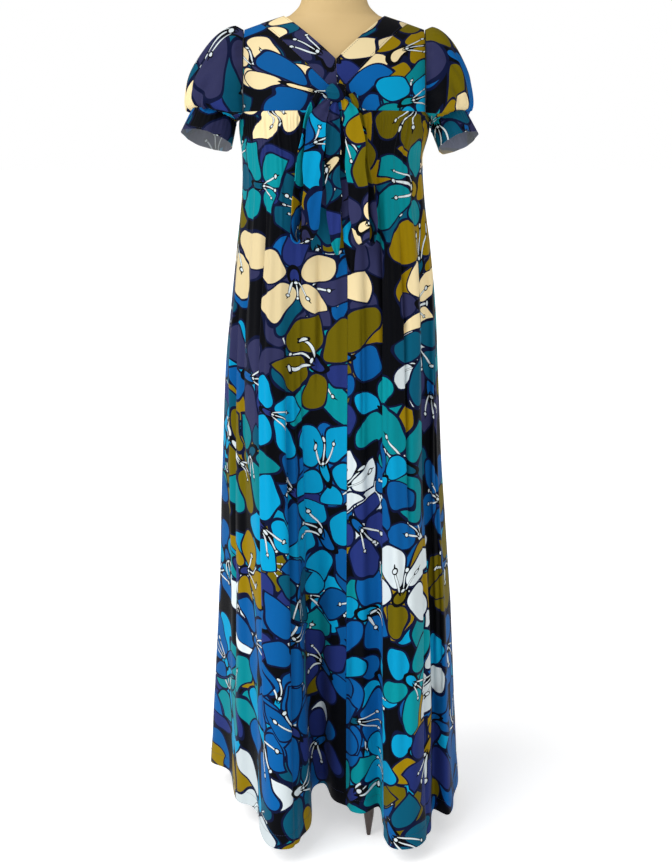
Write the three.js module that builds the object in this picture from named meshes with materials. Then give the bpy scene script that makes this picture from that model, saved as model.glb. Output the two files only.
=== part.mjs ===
import * as THREE from 'three';

// Sizes in millimetres. +Z is up, the front of the dress faces -Y.
// The ground is Z = 0 and the origin lies under the middle of the outline.
const MIDDLE_X = -11;
const MIDDLE_Y = -11.8;

// Cloth and seams.
const CLOTH = 1.6;
const TIE_CLOTH = 2.4;
const SEAM_GAP = 0.4;

// Heights of the dress.
const YOKE_SEAM_Z = 1290;
const UNDERARM_DIP = 7;
const SHOULDER = { top: 1480, slope: 0.27, round: 30, fall: 0.0003 };
const HEM_Z = 45;

// Yoke: the body form above the seam, arched from front to back over the shoulders.
const YOKE = { half: 165, middle: -3, front: 125, back: 112, plan: 2.3, arch: 1.8, archBack: 2.1 };
const ARMHOLE_X = 155;
const NECK_X = 87;
const BAND_OUTER_X = 127;
const V_POINT_Z = 1374;
const TIE_LINE_Z = 1333;
const BAND_JOIN_X = 15;
const BAND_SHIFT_X = 4.5;
const CENTRE_SEAM_X = 14;

// Skirt: half widths and depths of the plain tube under the folds, by height.
const TUBE = [
  { z: 1290, left: 168, right: 162, front: 125, back: 112 },
  { z: 1230, left: 164, right: 151, front: 127, back: 112 },
  { z: 1143, left: 167, right: 156, front: 128, back: 113 },
  { z: 1072, left: 175, right: 166, front: 130, back: 117 },
  { z: 955, left: 188, right: 178, front: 134, back: 132 },
  { z: 863, left: 198, right: 183, front: 138, back: 146 },
  { z: 781, left: 203, right: 187, front: 142, back: 152 },
  { z: 675, left: 208, right: 192, front: 146, back: 158 },
  { z: 579, left: 213, right: 199, front: 149, back: 163 },
  { z: 481, left: 217, right: 206, front: 152, back: 167 },
  { z: 402, left: 222, right: 212, front: 154, back: 170 },
  { z: 210, left: 234, right: 221, front: 158, back: 177 },
  { z: 101, left: 241, right: 227, front: 160, back: 181 },
  { z: 45, left: 245, right: 231, front: 161, back: 183 },
];

// Fold lines that run down from the yoke seam, clockwise from above, starting at the front seam.
// turn: place on the yoke seam in degrees from the front; x, y, z: place on the hem;
// grow: how late the fold deepens on its way down.
const FOLDS = [
  { name: 'front_seam', turn: 5, x: 17, y: -142, z: 58, grow: 1.5 },
  { name: 'inner_ridge', turn: 12, x: 46, y: -172, z: 58, grow: 1.4 },
  { name: 'inner_trough', turn: 20, x: 79, y: -152, z: 60, grow: 1.6 },
  { name: 'right_wall_in', turn: 26, x: 84, y: -208, z: 38, grow: 1.3 },
  { name: 'right_crest_in', turn: 33, x: 101, y: -252, z: 32, grow: 1.2 },
  { name: 'right_crest_out', turn: 44, x: 140, y: -249, z: 32, grow: 1.2 },
  { name: 'right_wall_out', turn: 54, x: 165, y: -206, z: 36, grow: 1.3 },
  { name: 'right_trough', turn: 63, x: 175, y: -132, z: 46, grow: 1.6 },
  { name: 'right_small_ridge', turn: 74, x: 207, y: -142, z: 42, grow: 1.3 },
  { name: 'right_side', turn: 90, x: 231, y: -28, z: 50, grow: 1.0 },
  { name: 'right_back_ridge', turn: 102, x: 226, y: 66, z: 48, grow: 1.2 },
  { name: 'right_back_trough', turn: 116, x: 179, y: 116, z: 50, grow: 1.7 },
  { name: 'back_1_wall_in', turn: 128, x: 166, y: 190, z: 44, grow: 1.3 },
  { name: 'back_1_crest', turn: 138, x: 128, y: 232, z: 40, grow: 1.2 },
  { name: 'back_1_wall_out', turn: 149, x: 88, y: 210, z: 44, grow: 1.3 },
  { name: 'back_1_trough', turn: 159, x: 62, y: 146, z: 52, grow: 1.8 },
  { name: 'back_2_crest', turn: 170, x: 28, y: 192, z: 46, grow: 1.4 },
  { name: 'back_2_wall', turn: 181, x: -14, y: 200, z: 46, grow: 1.4 },
  { name: 'back_2_trough', turn: 191, x: -38, y: 148, z: 52, grow: 1.8 },
  { name: 'back_3_wall_in', turn: 202, x: -70, y: 204, z: 44, grow: 1.3 },
  { name: 'back_3_crest', turn: 214, x: -114, y: 234, z: 40, grow: 1.2 },
  { name: 'back_3_wall_out', turn: 226, x: -156, y: 200, z: 44, grow: 1.3 },
  { name: 'left_back_trough', turn: 240, x: -176, y: 132, z: 52, grow: 1.7 },
  { name: 'left_back_ridge', turn: 255, x: -222, y: 142, z: 48, grow: 1.2 },
  { name: 'left_side', turn: 270, x: -245, y: 72, z: 48, grow: 1.0 },
  { name: 'left_trough', turn: 284, x: -203, y: 14, z: 52, grow: 1.5 },
  { name: 'left_small_ridge', turn: 294, x: -183, y: -92, z: 45, grow: 1.3 },
  { name: 'left_shelf', turn: 303, x: -147, y: -132, z: 45, grow: 1.3 },
  { name: 'left_wall_out', turn: 311, x: -134, y: -196, z: 37, grow: 1.2 },
  { name: 'left_crest_out', turn: 318, x: -112, y: -251, z: 33, grow: 1.2 },
  { name: 'left_crest_in', turn: 328, x: -73, y: -250, z: 33, grow: 1.2 },
  { name: 'left_wall_in', turn: 336, x: -48, y: -192, z: 40, grow: 1.4 },
  { name: 'recess_side', turn: 343, x: -45, y: -92, z: 62, grow: 1.9 },
  { name: 'recess_floor', turn: 350, x: -22, y: -66, z: 66, grow: 2.1 },
  { name: 'recess_step', turn: 358, x: -6, y: -116, z: 61, grow: 1.7 },
];
const SIDE_RIGHT = 9;
const SIDE_LEFT = 24;
const SKIRT_ROWS = [0, 0.02, 0.05, 0.09, 0.14, 0.21, 0.3, 0.4, 0.51, 0.62, 0.73, 0.83, 0.92, 1];
const FRONT_STEPS = 4;
const BACK_STEPS = 3;
const GATHER = { depth: 2.6, start: 0.03, fade: 0.1, perFold: 1 };

// Sleeve, worked out on the right and mirrored: cuff place, its lean, and the height of the puff.
const SLEEVES = [
  { name: 'left', side: -1, cuffX: 213, cuffZ: 1283, lean: 0.3, forward: 0.32, radius: 40, depth: 43, puff: 35, flare: 6 },
  { name: 'right', side: 1, cuffX: 197, cuffZ: 1277, lean: 0.42, forward: 0.34, radius: 34, depth: 43, puff: 33, flare: 3 },
];
const SLEEVE_SIDE_PUFF = 17;
const SLEEVE_UNDER_PUFF = 1.5;
const SLEEVE_START = 2.4;
const SLEEVE_COLUMNS = 36;
const SLEEVE_ROWS = [0, 0.09, 0.22, 0.4, 0.6, 0.8, 0.92, 1];
const SLEEVE_GATHER = { depth: 2.2, waves: 9 };
const CUFF = { length: 41, wave: 1.4, waves: 5, gap: 1.8, columns: 24 };

// Dress form: half width, depth to the front, depth to the back and squareness, by height.
const FORM = [
  { z: 800, half: 152, front: 92, back: 104, square: 2.2 },
  { z: 806, half: 160, front: 98, back: 112, square: 2.2 },
  { z: 860, half: 166, front: 102, back: 120, square: 2.2 },
  { z: 950, half: 156, front: 100, back: 108, square: 2.2 },
  { z: 1060, half: 126, front: 92, back: 88, square: 2.1 },
  { z: 1140, half: 136, front: 98, back: 90, square: 2.1 },
  { z: 1220, half: 149, front: 113, back: 99, square: 2.2 },
  { z: 1280, half: 153, front: 118, back: 103, square: 2.3 },
  { z: 1340, half: 150, front: 106, back: 98, square: 2.5 },
  { z: 1380, half: 146, front: 89, back: 88, square: 2.6 },
  { z: 1408, half: 142, front: 74, back: 76, square: 2.4 },
  { z: 1423, half: 134.5, front: 63, back: 68, square: 2.15 },
  { z: 1435.7, half: 119.8, front: 56, back: 60, square: 1.85 },
  { z: 1445.9, half: 99.7, front: 53, back: 55, square: 1.7 },
  { z: 1454, half: 77, front: 51, back: 52, square: 1.75 },
  { z: 1469, half: 61, front: 50, back: 51, square: 1.9 },
  { z: 1486, half: 55, front: 49, back: 50, square: 2 },
  { z: 1516, half: 52, front: 47, back: 48, square: 2 },
  { z: 1524, half: 47, front: 42, back: 43, square: 2 },
];
const FORM_COLUMNS = 28;

// Stand.
const POLE = { x: -3, y: 20, radius: 14, foot: 200 };
const HUB = { radius: 26, bottom: 138, top: 199.6 };
const LEG_TURNS = [-68.4, 51.6, 171.6];
const LEG = [
  { out: 26.4, z: 168, radius: 12.5 },
  { out: 60, z: 167, radius: 12.5 },
  { out: 105, z: 150, radius: 12.2 },
  { out: 142, z: 116, radius: 12 },
  { out: 163, z: 76, radius: 11.6 },
  { out: 170, z: 44, radius: 9.6 },
  { out: 170, z: 20, radius: 6.4 },
  { out: 170, z: 0, radius: 3.6 },
];

// Tie ends: middle line of each strip. x, z: place; off: distance from the skirt; twist: degrees.
const LOOP_LEFT = [
  { x: -12.4, z: 1306.3, off: 8, twist: 12, width: 9 },
  { x: -28, z: 1280, off: 21, twist: 16, width: 28 },
  { x: -35, z: 1240, off: 24, twist: 14, width: 33 },
  { x: -39, z: 1170, off: 24, twist: 14, width: 33 },
  { x: -43, z: 1108, off: 24, twist: 24, width: 32 },
  { x: -50, z: 1080, off: 24, twist: 46, width: 31 },
  { x: -60, z: 1073, off: 22, twist: 64, width: 31 },
  { x: -69, z: 1086, off: 19, twist: 66, width: 30 },
  { x: -66, z: 1130, off: 18, twist: 58, width: 30 },
  { x: -55, z: 1200, off: 17, twist: 46, width: 28 },
  { x: -44, z: 1268, off: 15, twist: 34, width: 24 },
  { x: -33, z: 1303, off: 12, twist: 28, width: 17 },
  { x: -26, z: 1317, off: 14, twist: 14, width: 11 },
];
const LOOP_RIGHT = [
  { x: 12.8, z: 1306, off: 8, twist: -10, width: 9 },
  { x: 23, z: 1282, off: 23, twist: -8, width: 28 },
  { x: 31, z: 1240, off: 26, twist: -6, width: 33 },
  { x: 35, z: 1170, off: 25, twist: -6, width: 33 },
  { x: 39, z: 1108, off: 25, twist: -18, width: 32 },
  { x: 45, z: 1078, off: 25, twist: -40, width: 30 },
  { x: 53, z: 1068, off: 22, twist: -58, width: 28 },
  { x: 60, z: 1080, off: 19, twist: -58, width: 26 },
  { x: 58, z: 1130, off: 16, twist: -46, width: 24 },
  { x: 48, z: 1200, off: 13, twist: -36, width: 22 },
  { x: 39, z: 1268, off: 10, twist: -30, width: 19 },
  { x: 32, z: 1303, off: 11, twist: -22, width: 15 },
  { x: 26, z: 1317, off: 13, twist: -10, width: 11 },
];
const TAIL_LEFT = [
  { x: -1.5, z: 1302.3, off: 6.4, twist: 4, width: 9 },
  { x: -4, z: 1278, off: 10, twist: 5, width: 20 },
  { x: -5, z: 1220, off: 9, twist: 4, width: 25 },
  { x: -4, z: 1130, off: 10, twist: -2, width: 25 },
  { x: -1, z: 1075, off: 9, twist: -4, width: 15 },
  { x: 2, z: 1052, off: 9, twist: 0, width: 4 },
];
const TAIL_RIGHT = [
  { x: 5, z: 1302.3, off: 2.6, twist: 0, width: 9 },
  { x: 13, z: 1278, off: 3, twist: 0, width: 24 },
  { x: 20, z: 1210, off: 2.7, twist: 0, width: 28 },
  { x: 24, z: 1100, off: 3, twist: 0, width: 27 },
  { x: 25, z: 1046, off: 3, twist: 0, width: 15 },
  { x: 27, z: 1022, off: 3, twist: 0, width: 4 },
];
const KNOT = { x: 0, z: 1318, off: 5.2, halfWidth: 16, halfHeight: 15.5, halfDepth: 9, columns: 20, rows: 9 };

const V3 = (x, y, z) => new THREE.Vector3(x, y, z);
const signedPower = (value, power) => Math.sign(value) * Math.abs(value) ** power;
const clamp01 = (value) => Math.min(1, Math.max(0, value));
const ease = (value) => clamp01(value) ** 2 * (3 - 2 * clamp01(value));
const mix = (a, b, share) => a + (b - a) * share;

// Smooth curve value through four neighbours.
function cubic(a, b, c, d, share) {
  const bend = (2 * a - 5 * b + 4 * c - d) * share * share;
  const curl = (3 * b - a - 3 * c + d) * share ** 3;
  return b + 0.5 * ((c - a) * share + bend + curl);
}

// Value of one column of a table at a place along its rows.
function along(rows, column, place) {
  const last = rows.length - 1;
  const at = Math.min(last - 1e-9, Math.max(0, place));
  const i = Math.floor(at);
  const pick = (k) => rows[Math.min(last, Math.max(0, k))][column];
  return cubic(pick(i - 1), pick(i), pick(i + 1), pick(i + 2), at - i);
}

// Row place in a table ordered by falling height.
function placeOfHeight(rows, z) {
  if (z >= rows[0].z) return 0;
  for (let i = 1; i < rows.length; i += 1) {
    if (z >= rows[i].z) return i - (z - rows[i].z) / (rows[i - 1].z - rows[i].z);
  }
  return rows.length - 1;
}

// Normal of a surface f(u, v), from small steps both ways.
function normalOf(f, u, v, stepU, stepV) {
  const du = f(u + stepU, v).sub(f(u - stepU, v));
  const dv = f(u, v + stepV).sub(f(u, v - stepV));
  return du.cross(dv).normalize();
}

// Closed body from a list of corners and faces, turned to face out.
function body(name, corners, faces) {
  let volume = 0;
  for (const [a, b, c] of faces) volume += corners[a].dot(corners[b].clone().cross(corners[c]));
  const index = [];
  for (const [a, b, c] of faces) {
    if (volume > 0) index.push(a, b, c);
    else index.push(a, c, b);
  }
  const position = [];
  for (const corner of corners) position.push(corner.x - MIDDLE_X, corner.y - MIDDLE_Y, corner.z);
  const geometry = new THREE.BufferGeometry();
  geometry.setAttribute('position', new THREE.Float32BufferAttribute(position, 3));
  geometry.setIndex(index);
  geometry.computeVertexNormals();
  return { name, geometry };
}

// Quad split along its shorter diagonal.
function quad(faces, corners, a, b, c, d) {
  if (corners[a].distanceToSquared(corners[c]) <= corners[b].distanceToSquared(corners[d])) {
    faces.push([a, b, c], [a, c, d]);
  } else {
    faces.push([a, b, d], [b, c, d]);
  }
}

// Cloth wall through a grid of points with their normals; columns may close into a ring.
function wall(name, grid, normals, thickness, ring) {
  const rows = grid.length;
  const columns = grid[0].length;
  const corners = [];
  for (const side of [0.5, -0.5]) {
    for (let r = 0; r < rows; r += 1) {
      for (let c = 0; c < columns; c += 1) {
        corners.push(grid[r][c].clone().addScaledVector(normals[r][c], side * thickness));
      }
    }
  }
  const outer = (r, c) => r * columns + (c % columns);
  const inner = (r, c) => rows * columns + outer(r, c);
  const faces = [];
  const spans = ring ? columns : columns - 1;
  for (let r = 0; r < rows - 1; r += 1) {
    for (let c = 0; c < spans; c += 1) {
      quad(faces, corners, outer(r, c), outer(r, c + 1), outer(r + 1, c + 1), outer(r + 1, c));
      quad(faces, corners, inner(r, c), inner(r + 1, c), inner(r + 1, c + 1), inner(r, c + 1));
    }
  }
  for (let c = 0; c < spans; c += 1) {
    quad(faces, corners, outer(0, c), inner(0, c), inner(0, c + 1), outer(0, c + 1));
    quad(faces, corners, outer(rows - 1, c), outer(rows - 1, c + 1), inner(rows - 1, c + 1), inner(rows - 1, c));
  }
  if (!ring) {
    const e = columns - 1;
    for (let r = 0; r < rows - 1; r += 1) {
      quad(faces, corners, outer(r, 0), outer(r + 1, 0), inner(r + 1, 0), inner(r, 0));
      quad(faces, corners, outer(r, e), inner(r, e), inner(r + 1, e), outer(r + 1, e));
    }
  }
  return body(name, corners, faces);
}

// Solid through a stack of rings with flat ends.
function stack(name, rings) {
  const columns = rings[0].length;
  const corners = rings.flat();
  const faces = [];
  for (let r = 0; r < rings.length - 1; r += 1) {
    for (let c = 0; c < columns; c += 1) {
      const d = (c + 1) % columns;
      const low = r * columns;
      const high = low + columns;
      quad(faces, corners, low + c, low + d, high + d, high + c);
    }
  }
  for (const end of [0, rings.length - 1]) {
    const middle = V3(0, 0, 0);
    for (const corner of rings[end]) middle.addScaledVector(corner, 1 / columns);
    const m = corners.push(middle) - 1;
    for (let c = 0; c < columns; c += 1) {
      const d = (c + 1) % columns;
      const low = end * columns;
      if (end === 0) faces.push([low + d, low + c, m]);
      else faces.push([low + c, low + d, m]);
    }
  }
  return body(name, corners, faces);
}

// Plain tube of the dress at a height: point at a turn measured from the front.
function tubePoint(turn, z) {
  const place = placeOfHeight(TUBE, z);
  const s = Math.sin(turn);
  const c = Math.cos(turn);
  const half = s < 0 ? along(TUBE, 'left', place) : along(TUBE, 'right', place);
  const depth = c > 0 ? along(TUBE, 'front', place) : along(TUBE, 'back', place);
  const power = 2 / YOKE.plan;
  return [half * signedPower(s, power), -depth * signedPower(c, power)];
}

// Height of the shoulder line, falling from the neck to the armhole.
function crownZ(x) {
  return SHOULDER.top - SHOULDER.slope * Math.hypot(x, SHOULDER.round) - SHOULDER.fall * x * x;
}

// Yoke surface: x across, arch angle from the front seam (0) over the shoulder to the back seam (pi).
function yokePoint(x, angle) {
  const c = Math.cos(angle);
  const s = Math.sin(angle);
  const share = Math.min(0.995, Math.abs(x) / YOKE.half);
  const plan = (1 - share ** YOKE.plan) ** (1 / YOKE.plan);
  const depth = c > 0 ? YOKE.front * plan : YOKE.back * plan;
  const power = c > 0 ? 2 / YOKE.arch : 2 / YOKE.archBack;
  const crown = crownZ(x);
  const low = YOKE_SEAM_Z + SEAM_GAP / 2;
  return V3(x + YOKE.middle, -depth * signedPower(c, power), low + (crown - low) * signedPower(s, power));
}

// Arch angle at which the yoke surface reaches a height, on the front.
function archAngle(x, z) {
  const crown = crownZ(x);
  const share = clamp01((z - YOKE_SEAM_Z) / (crown - YOKE_SEAM_Z));
  return Math.asin(share ** (YOKE.arch / 2));
}

// Fold lines of the skirt at a share of its drop.
function foldPoints(share) {
  return FOLDS.map((fold) => {
    const turn = THREE.MathUtils.degToRad(fold.turn);
    const [topX, topY] = tubePoint(turn, YOKE_SEAM_Z);
    const z = mix(YOKE_SEAM_Z - SEAM_GAP / 2, fold.z, share);
    const height = mix(YOKE_SEAM_Z, HEM_Z, share);
    const [x, y] = tubePoint(turn, height);
    const [hemX, hemY] = tubePoint(turn, HEM_Z);
    const grown = share ** fold.grow;
    const pull = share === 0 ? 0 : grown;
    const topPull = 1 - ease(share * 16);
    return V3(
      mix(x + pull * (fold.x - hemX), topX, topPull),
      mix(y + pull * (fold.y - hemY), topY, topPull),
      z,
    );
  });
}

const foldCache = new Map();
function foldsAt(share) {
  if (!foldCache.has(share)) foldCache.set(share, foldPoints(share));
  return foldCache.get(share);
}

// How far the top of the skirt drops under the armhole.
function underarmDip(point) {
  if (Math.abs(point.x - YOKE.middle) < ARMHOLE_X - 12) return 0;
  const side = Math.sign(point.x);
  const edge = Math.abs(yokePoint(side * ARMHOLE_X, point.y < 0 ? 0 : Math.PI).y);
  return UNDERARM_DIP * Math.sqrt(clamp01(1 - (point.y / edge) ** 2));
}

// Skirt surface: place among the fold lines (may run past the ends), share of the drop.
function skirtPoint(place, share) {
  const inside = Math.max(0, share);
  const lines = foldsAt(inside);
  const count = lines.length;
  const i = Math.floor(place);
  const part = place - i;
  const at = (k) => lines[(((i + k) % count) + count) % count];
  const point = V3(
    cubic(at(-1).x, at(0).x, at(1).x, at(2).x, part),
    cubic(at(-1).y, at(0).y, at(1).y, at(2).y, part),
    cubic(at(-1).z, at(0).z, at(1).z, at(2).z, part),
  );
  const rise = ease(inside / GATHER.start) * Math.exp(-inside / GATHER.fade);
  const depth = GATHER.depth * rise * Math.sin(Math.PI * part * 2 * GATHER.perFold);
  const out = V3(point.x, point.y, 0).normalize();
  point.addScaledVector(out, depth);
  if (share < 0) point.z += -share * YOKE_SEAM_Z;
  point.z -= underarmDip(point) * (1 - inside) ** 4;
  return point;
}

// Foremost point of the skirt at a place across and a height.
function skirtFront(x, z) {
  const share = clamp01((YOKE_SEAM_Z - z) / (YOKE_SEAM_Z - HEM_Z));
  let front = 0;
  for (let place = -8; place < 8; place += 0.1) {
    const a = skirtPoint(place, share);
    const b = skirtPoint(place + 0.1, share);
    if ((a.x - x) * (b.x - x) <= 0) front = Math.min(front, a.y, b.y);
  }
  return front;
}

// One skirt panel between two seams.
function skirtPanel(name, from, to, steps) {
  const count = (to - from) * steps;
  const grid = [];
  const normals = [];
  for (const share of SKIRT_ROWS) {
    const row = [];
    const rowNormals = [];
    for (let c = 0; c <= count; c += 1) {
      const place = from + c / steps;
      const point = skirtPoint(place, share);
      const normal = normalOf(skirtPoint, place, share, 0.02, share < 0.004 ? 0.002 : 0.004);
      row.push(point);
      rowNormals.push(normal);
    }
    for (const [edge, next] of [[0, 1], [count, count - 1]]) {
      const inward = row[next].clone().sub(row[edge]).normalize();
      row[edge].addScaledVector(inward, SEAM_GAP / 2);
    }
    grid.push(row);
    normals.push(rowNormals);
  }
  return wall(name, grid, normals, CLOTH, false);
}

// Inner and outer edges of the neckband on the front, by arch angle.
function bandEdges(angle, side) {
  const vAngle = archAngle(0, V_POINT_Z);
  const tieAngle = archAngle(0, TIE_LINE_Z);
  const open = clamp01((angle - vAngle) / (Math.PI / 2 - vAngle));
  const rise = clamp01((angle - tieAngle) / (Math.PI / 2 - tieAngle));
  const inner = NECK_X * (1 - (1 - open) ** 2);
  const outer = mix(BAND_JOIN_X, BAND_OUTER_X, 1 - (1 - rise) ** 1.9);
  const shift = BAND_SHIFT_X * (1 - rise) ** 2;
  return [side * (inner + SEAM_GAP / 2) + shift, side * outer + shift];
}

const yokeAt = (x, angle) => yokePoint(x, angle);

// Strip or panel on the yoke surface, through rows that each run between two places.
function yokePanel(name, rows, columns) {
  const grid = [];
  const normals = [];
  for (const row of rows) {
    const points = [];
    const rowNormals = [];
    for (let c = 0; c <= columns; c += 1) {
      const x = mix(row.from[0], row.to[0], c / columns);
      const angle = mix(row.from[1], row.to[1], c / columns);
      points.push(yokeAt(x, angle));
      rowNormals.push(normalOf(yokeAt, x, angle, 0.5, 0.01));
    }
    grid.push(points);
    normals.push(rowNormals);
  }
  return wall(name, grid, normals, CLOTH, false);
}

const SHOULDER_GAP_ANGLE = 0.005;

const BAND_STEPS = 9;

// Arch angles of the rows shared by the neckband and the yoke beside it.
function bandAngle(step) {
  return mix(archAngle(0, TIE_LINE_Z), Math.PI / 2 - SHOULDER_GAP_ANGLE, step / BAND_STEPS);
}

function yokeFront(name, side) {
  const rows = [];
  const seam = CENTRE_SEAM_X - YOKE.middle + side * SEAM_GAP * 0.5;
  for (const share of [0, 0.35, 0.66]) {
    const angle = share * bandAngle(0);
    rows.push({ from: [seam, angle], to: [side * ARMHOLE_X, angle] });
  }
  for (let r = 0; r <= BAND_STEPS; r += 1) {
    const angle = bandAngle(r);
    const [, band] = bandEdges(angle, side);
    rows.push({ from: [band + side * SEAM_GAP * 1.9, angle], to: [side * ARMHOLE_X, angle] });
  }
  return yokePanel(name, rows, 7);
}

function bandFront(name, side) {
  const rows = [];
  for (let r = 0; r <= BAND_STEPS; r += 1) {
    const angle = bandAngle(r);
    const [inner, outer] = bandEdges(angle, side);
    rows.push({ from: [inner, angle], to: [outer, angle] });
  }
  return yokePanel(name, rows, 2);
}

// Arch angles of the neckband at the back, across the neck.
function backEdge(share, reach, fall) {
  const turn = share * Math.PI / 2;
  return [reach * Math.sin(turn), Math.PI / 2 + SHOULDER_GAP_ANGLE + fall * Math.cos(turn) ** 0.8];
}

const BACK_BAND = { inner: 0.62, outer: 0.86, steps: 16 };

function bandBack() {
  const rows = [];
  for (let r = 0; r <= BACK_BAND.steps; r += 1) {
    const share = (r / BACK_BAND.steps) * 2 - 1;
    rows.push({
      from: backEdge(share, NECK_X, BACK_BAND.inner),
      to: backEdge(share, BAND_OUTER_X, BACK_BAND.outer),
    });
  }
  return yokePanel('neckband_back', rows, 2);
}

function yokeBack() {
  const top = Math.PI / 2 + SHOULDER_GAP_ANGLE;
  const rows = [];
  for (let r = 0; r <= BACK_BAND.steps; r += 1) {
    const share = (r / BACK_BAND.steps) * 2 - 1;
    const [x, edge] = backEdge(share, BAND_OUTER_X + SEAM_GAP * 1.6, BACK_BAND.outer + 0.005);
    rows.push({ from: [x, Math.PI], to: [x, edge] });
  }
  for (const x of [mix(BAND_OUTER_X, ARMHOLE_X, 0.5), ARMHOLE_X]) {
    rows.push({ from: [x, Math.PI], to: [x, top] });
    rows.unshift({ from: [-x, Math.PI], to: [-x, top] });
  }
  return yokePanel('yoke_back', rows, 6);
}

// Armhole loop of one side: 0 at the front seam, a quarter at the shoulder, half at the back seam.
function armhole(turn, side) {
  if (turn <= Math.PI) return yokePoint(side * ARMHOLE_X, turn);
  const c = Math.cos(turn);
  const s = Math.sin(turn);
  const edge = yokePoint(side * ARMHOLE_X, c > 0 ? 0 : Math.PI);
  const x = mix(YOKE.half, ARMHOLE_X, Math.abs(c) ** 2);
  return V3(side * x + YOKE.middle, -Math.abs(edge.y) * signedPower(c, 1), YOKE_SEAM_Z + UNDERARM_DIP * s);
}

function cuffFrame(spec) {
  const axis = V3(spec.side * spec.lean, -spec.forward, -1).normalize();
  const outward = V3(spec.side, 0, spec.lean).normalize();
  outward.addScaledVector(axis, -outward.dot(axis)).normalize();
  const forward = axis.clone().cross(outward).multiplyScalar(spec.side).normalize();
  if (forward.y > 0) forward.negate();
  return { axis, outward, forward, middle: V3(spec.side * spec.cuffX, -4, spec.cuffZ) };
}

function cuffRing(spec, turn, down, grow) {
  const frame = cuffFrame(spec);
  const s = Math.sin(turn);
  const c = Math.cos(turn);
  return frame.middle.clone()
    .addScaledVector(frame.axis, down)
    .addScaledVector(frame.outward, (spec.radius + grow) * s)
    .addScaledVector(frame.forward, (spec.depth + grow) * c);
}

function sleevePoint(spec, turn, share) {
  const inside = Math.min(1, Math.max(0, share));
  const wrapped = ((turn % (2 * Math.PI)) + 2 * Math.PI) % (2 * Math.PI);
  const start = armhole(wrapped, spec.side);
  start.x += spec.side * SLEEVE_START;
  start.z += Math.max(0, -Math.sin(wrapped)) ** 0.5 * 1.2;
  const end = cuffRing(spec, wrapped, 0, 0);
  const point = start.lerp(end, share);
  const s = Math.sin(wrapped);
  const c = Math.cos(wrapped);
  const swell = Math.sin(Math.PI * inside ** 0.84) ** 0.56;
  const topness = Math.max(0, s) ** 0.8;
  const under = Math.max(0, -s) ** 0.5;
  const sides = SLEEVE_SIDE_PUFF * (1 - 0.85 * under);
  point.x += spec.side * swell * (0.83 * spec.puff * topness + sides * 0.45 * Math.abs(c));
  point.z += swell * (0.62 * spec.puff * topness - SLEEVE_UNDER_PUFF * under);
  point.y -= swell * sides * signedPower(c, 0.8);
  const ends = ease(inside / 0.08) * (1 - ease((inside - 0.1) / 0.35)) + ease((inside - 0.6) / 0.3);
  const gather = SLEEVE_GATHER.depth * ends * Math.cos(SLEEVE_GATHER.waves * wrapped) * (0.35 + 0.65 * topness);
  point.x += spec.side * gather * Math.max(0, s);
  point.z += gather * Math.max(0, s) * 0.6;
  point.y -= gather * c;
  return point;
}

function sleeve(spec) {
  const surface = (turn, share) => sleevePoint(spec, turn, share);
  const grid = [];
  const normals = [];
  for (const share of SLEEVE_ROWS) {
    const row = [];
    const rowNormals = [];
    for (let c = 0; c < SLEEVE_COLUMNS; c += 1) {
      const turn = (c / SLEEVE_COLUMNS) * 2 * Math.PI;
      row.push(surface(turn, share));
      const safe = Math.min(0.985, Math.max(0.015, share));
      rowNormals.push(normalOf(surface, turn, safe, 0.05, 0.01));
    }
    grid.push(row);
    normals.push(rowNormals);
  }
  return wall('sleeve_' + spec.name, grid, normals, CLOTH, true);
}

function cuff(spec) {
  const surface = (turn, down) => {
    const share = clamp01(down / CUFF.length);
    const wave = CUFF.wave * share * Math.sin(CUFF.waves * turn + 0.7);
    return cuffRing(spec, turn, CUFF.gap + down, spec.flare * share ** 0.8 + wave - 0.5);
  };
  const grid = [];
  const normals = [];
  const columns = CUFF.columns;
  for (const down of [0, 0.45, 1]) {
    const row = [];
    const rowNormals = [];
    for (let c = 0; c < columns; c += 1) {
      const turn = (c / columns) * 2 * Math.PI;
      row.push(surface(turn, down * CUFF.length));
      rowNormals.push(normalOf(surface, turn, Math.max(1, down * CUFF.length), 0.02, 0.9));
    }
    grid.push(row);
    normals.push(rowNormals);
  }
  return wall('cuff_' + spec.name, grid, normals, CLOTH, true);
}

// Cloth strip of the tie through rows of its middle line.
function strip(name, rows, steps) {
  const middle = (place) => {
    const x = along(rows, 'x', place);
    const z = along(rows, 'z', place);
    const cloth = skirtFrontSmooth(x, z);
    return V3(x, cloth - along(rows, 'off', place), z);
  };
  const grid = [];
  const normals = [];
  const count = (rows.length - 1) * steps;
  for (let r = 0; r <= count; r += 1) {
    const place = r / steps;
    const at = middle(place);
    const run = middle(Math.min(rows.length - 1, place + 0.1)).sub(middle(Math.max(0, place - 0.1))).normalize();
    const twist = THREE.MathUtils.degToRad(along(rows, 'twist', place));
    const across = V3(Math.cos(twist), Math.sin(twist), 0);
    across.addScaledVector(run, -across.dot(run)).normalize();
    const face = run.clone().cross(across).normalize();
    const half = Math.max(1.5, along(rows, 'width', place) / 2);
    const points = [];
    const rowNormals = [];
    for (const side of [-1, 0, 1]) {
      points.push(at.clone().addScaledVector(across, side * half));
      rowNormals.push(face);
    }
    grid.push(points);
    normals.push(rowNormals);
  }
  return wall(name, grid, normals, TIE_CLOTH, false);
}

// Even front of the skirt under the ties, without its gathers.
function skirtFrontSmooth(x, z) {
  const low = Math.min(z, YOKE_SEAM_Z - 70);
  const near = skirtFront(x, low);
  if (z <= low) return near;
  const top = -YOKE.front - CLOTH * 2;
  return mix(near, top, ease((z - low) / 70)) - (z > YOKE_SEAM_Z ? 0 : 1.5);
}

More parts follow.
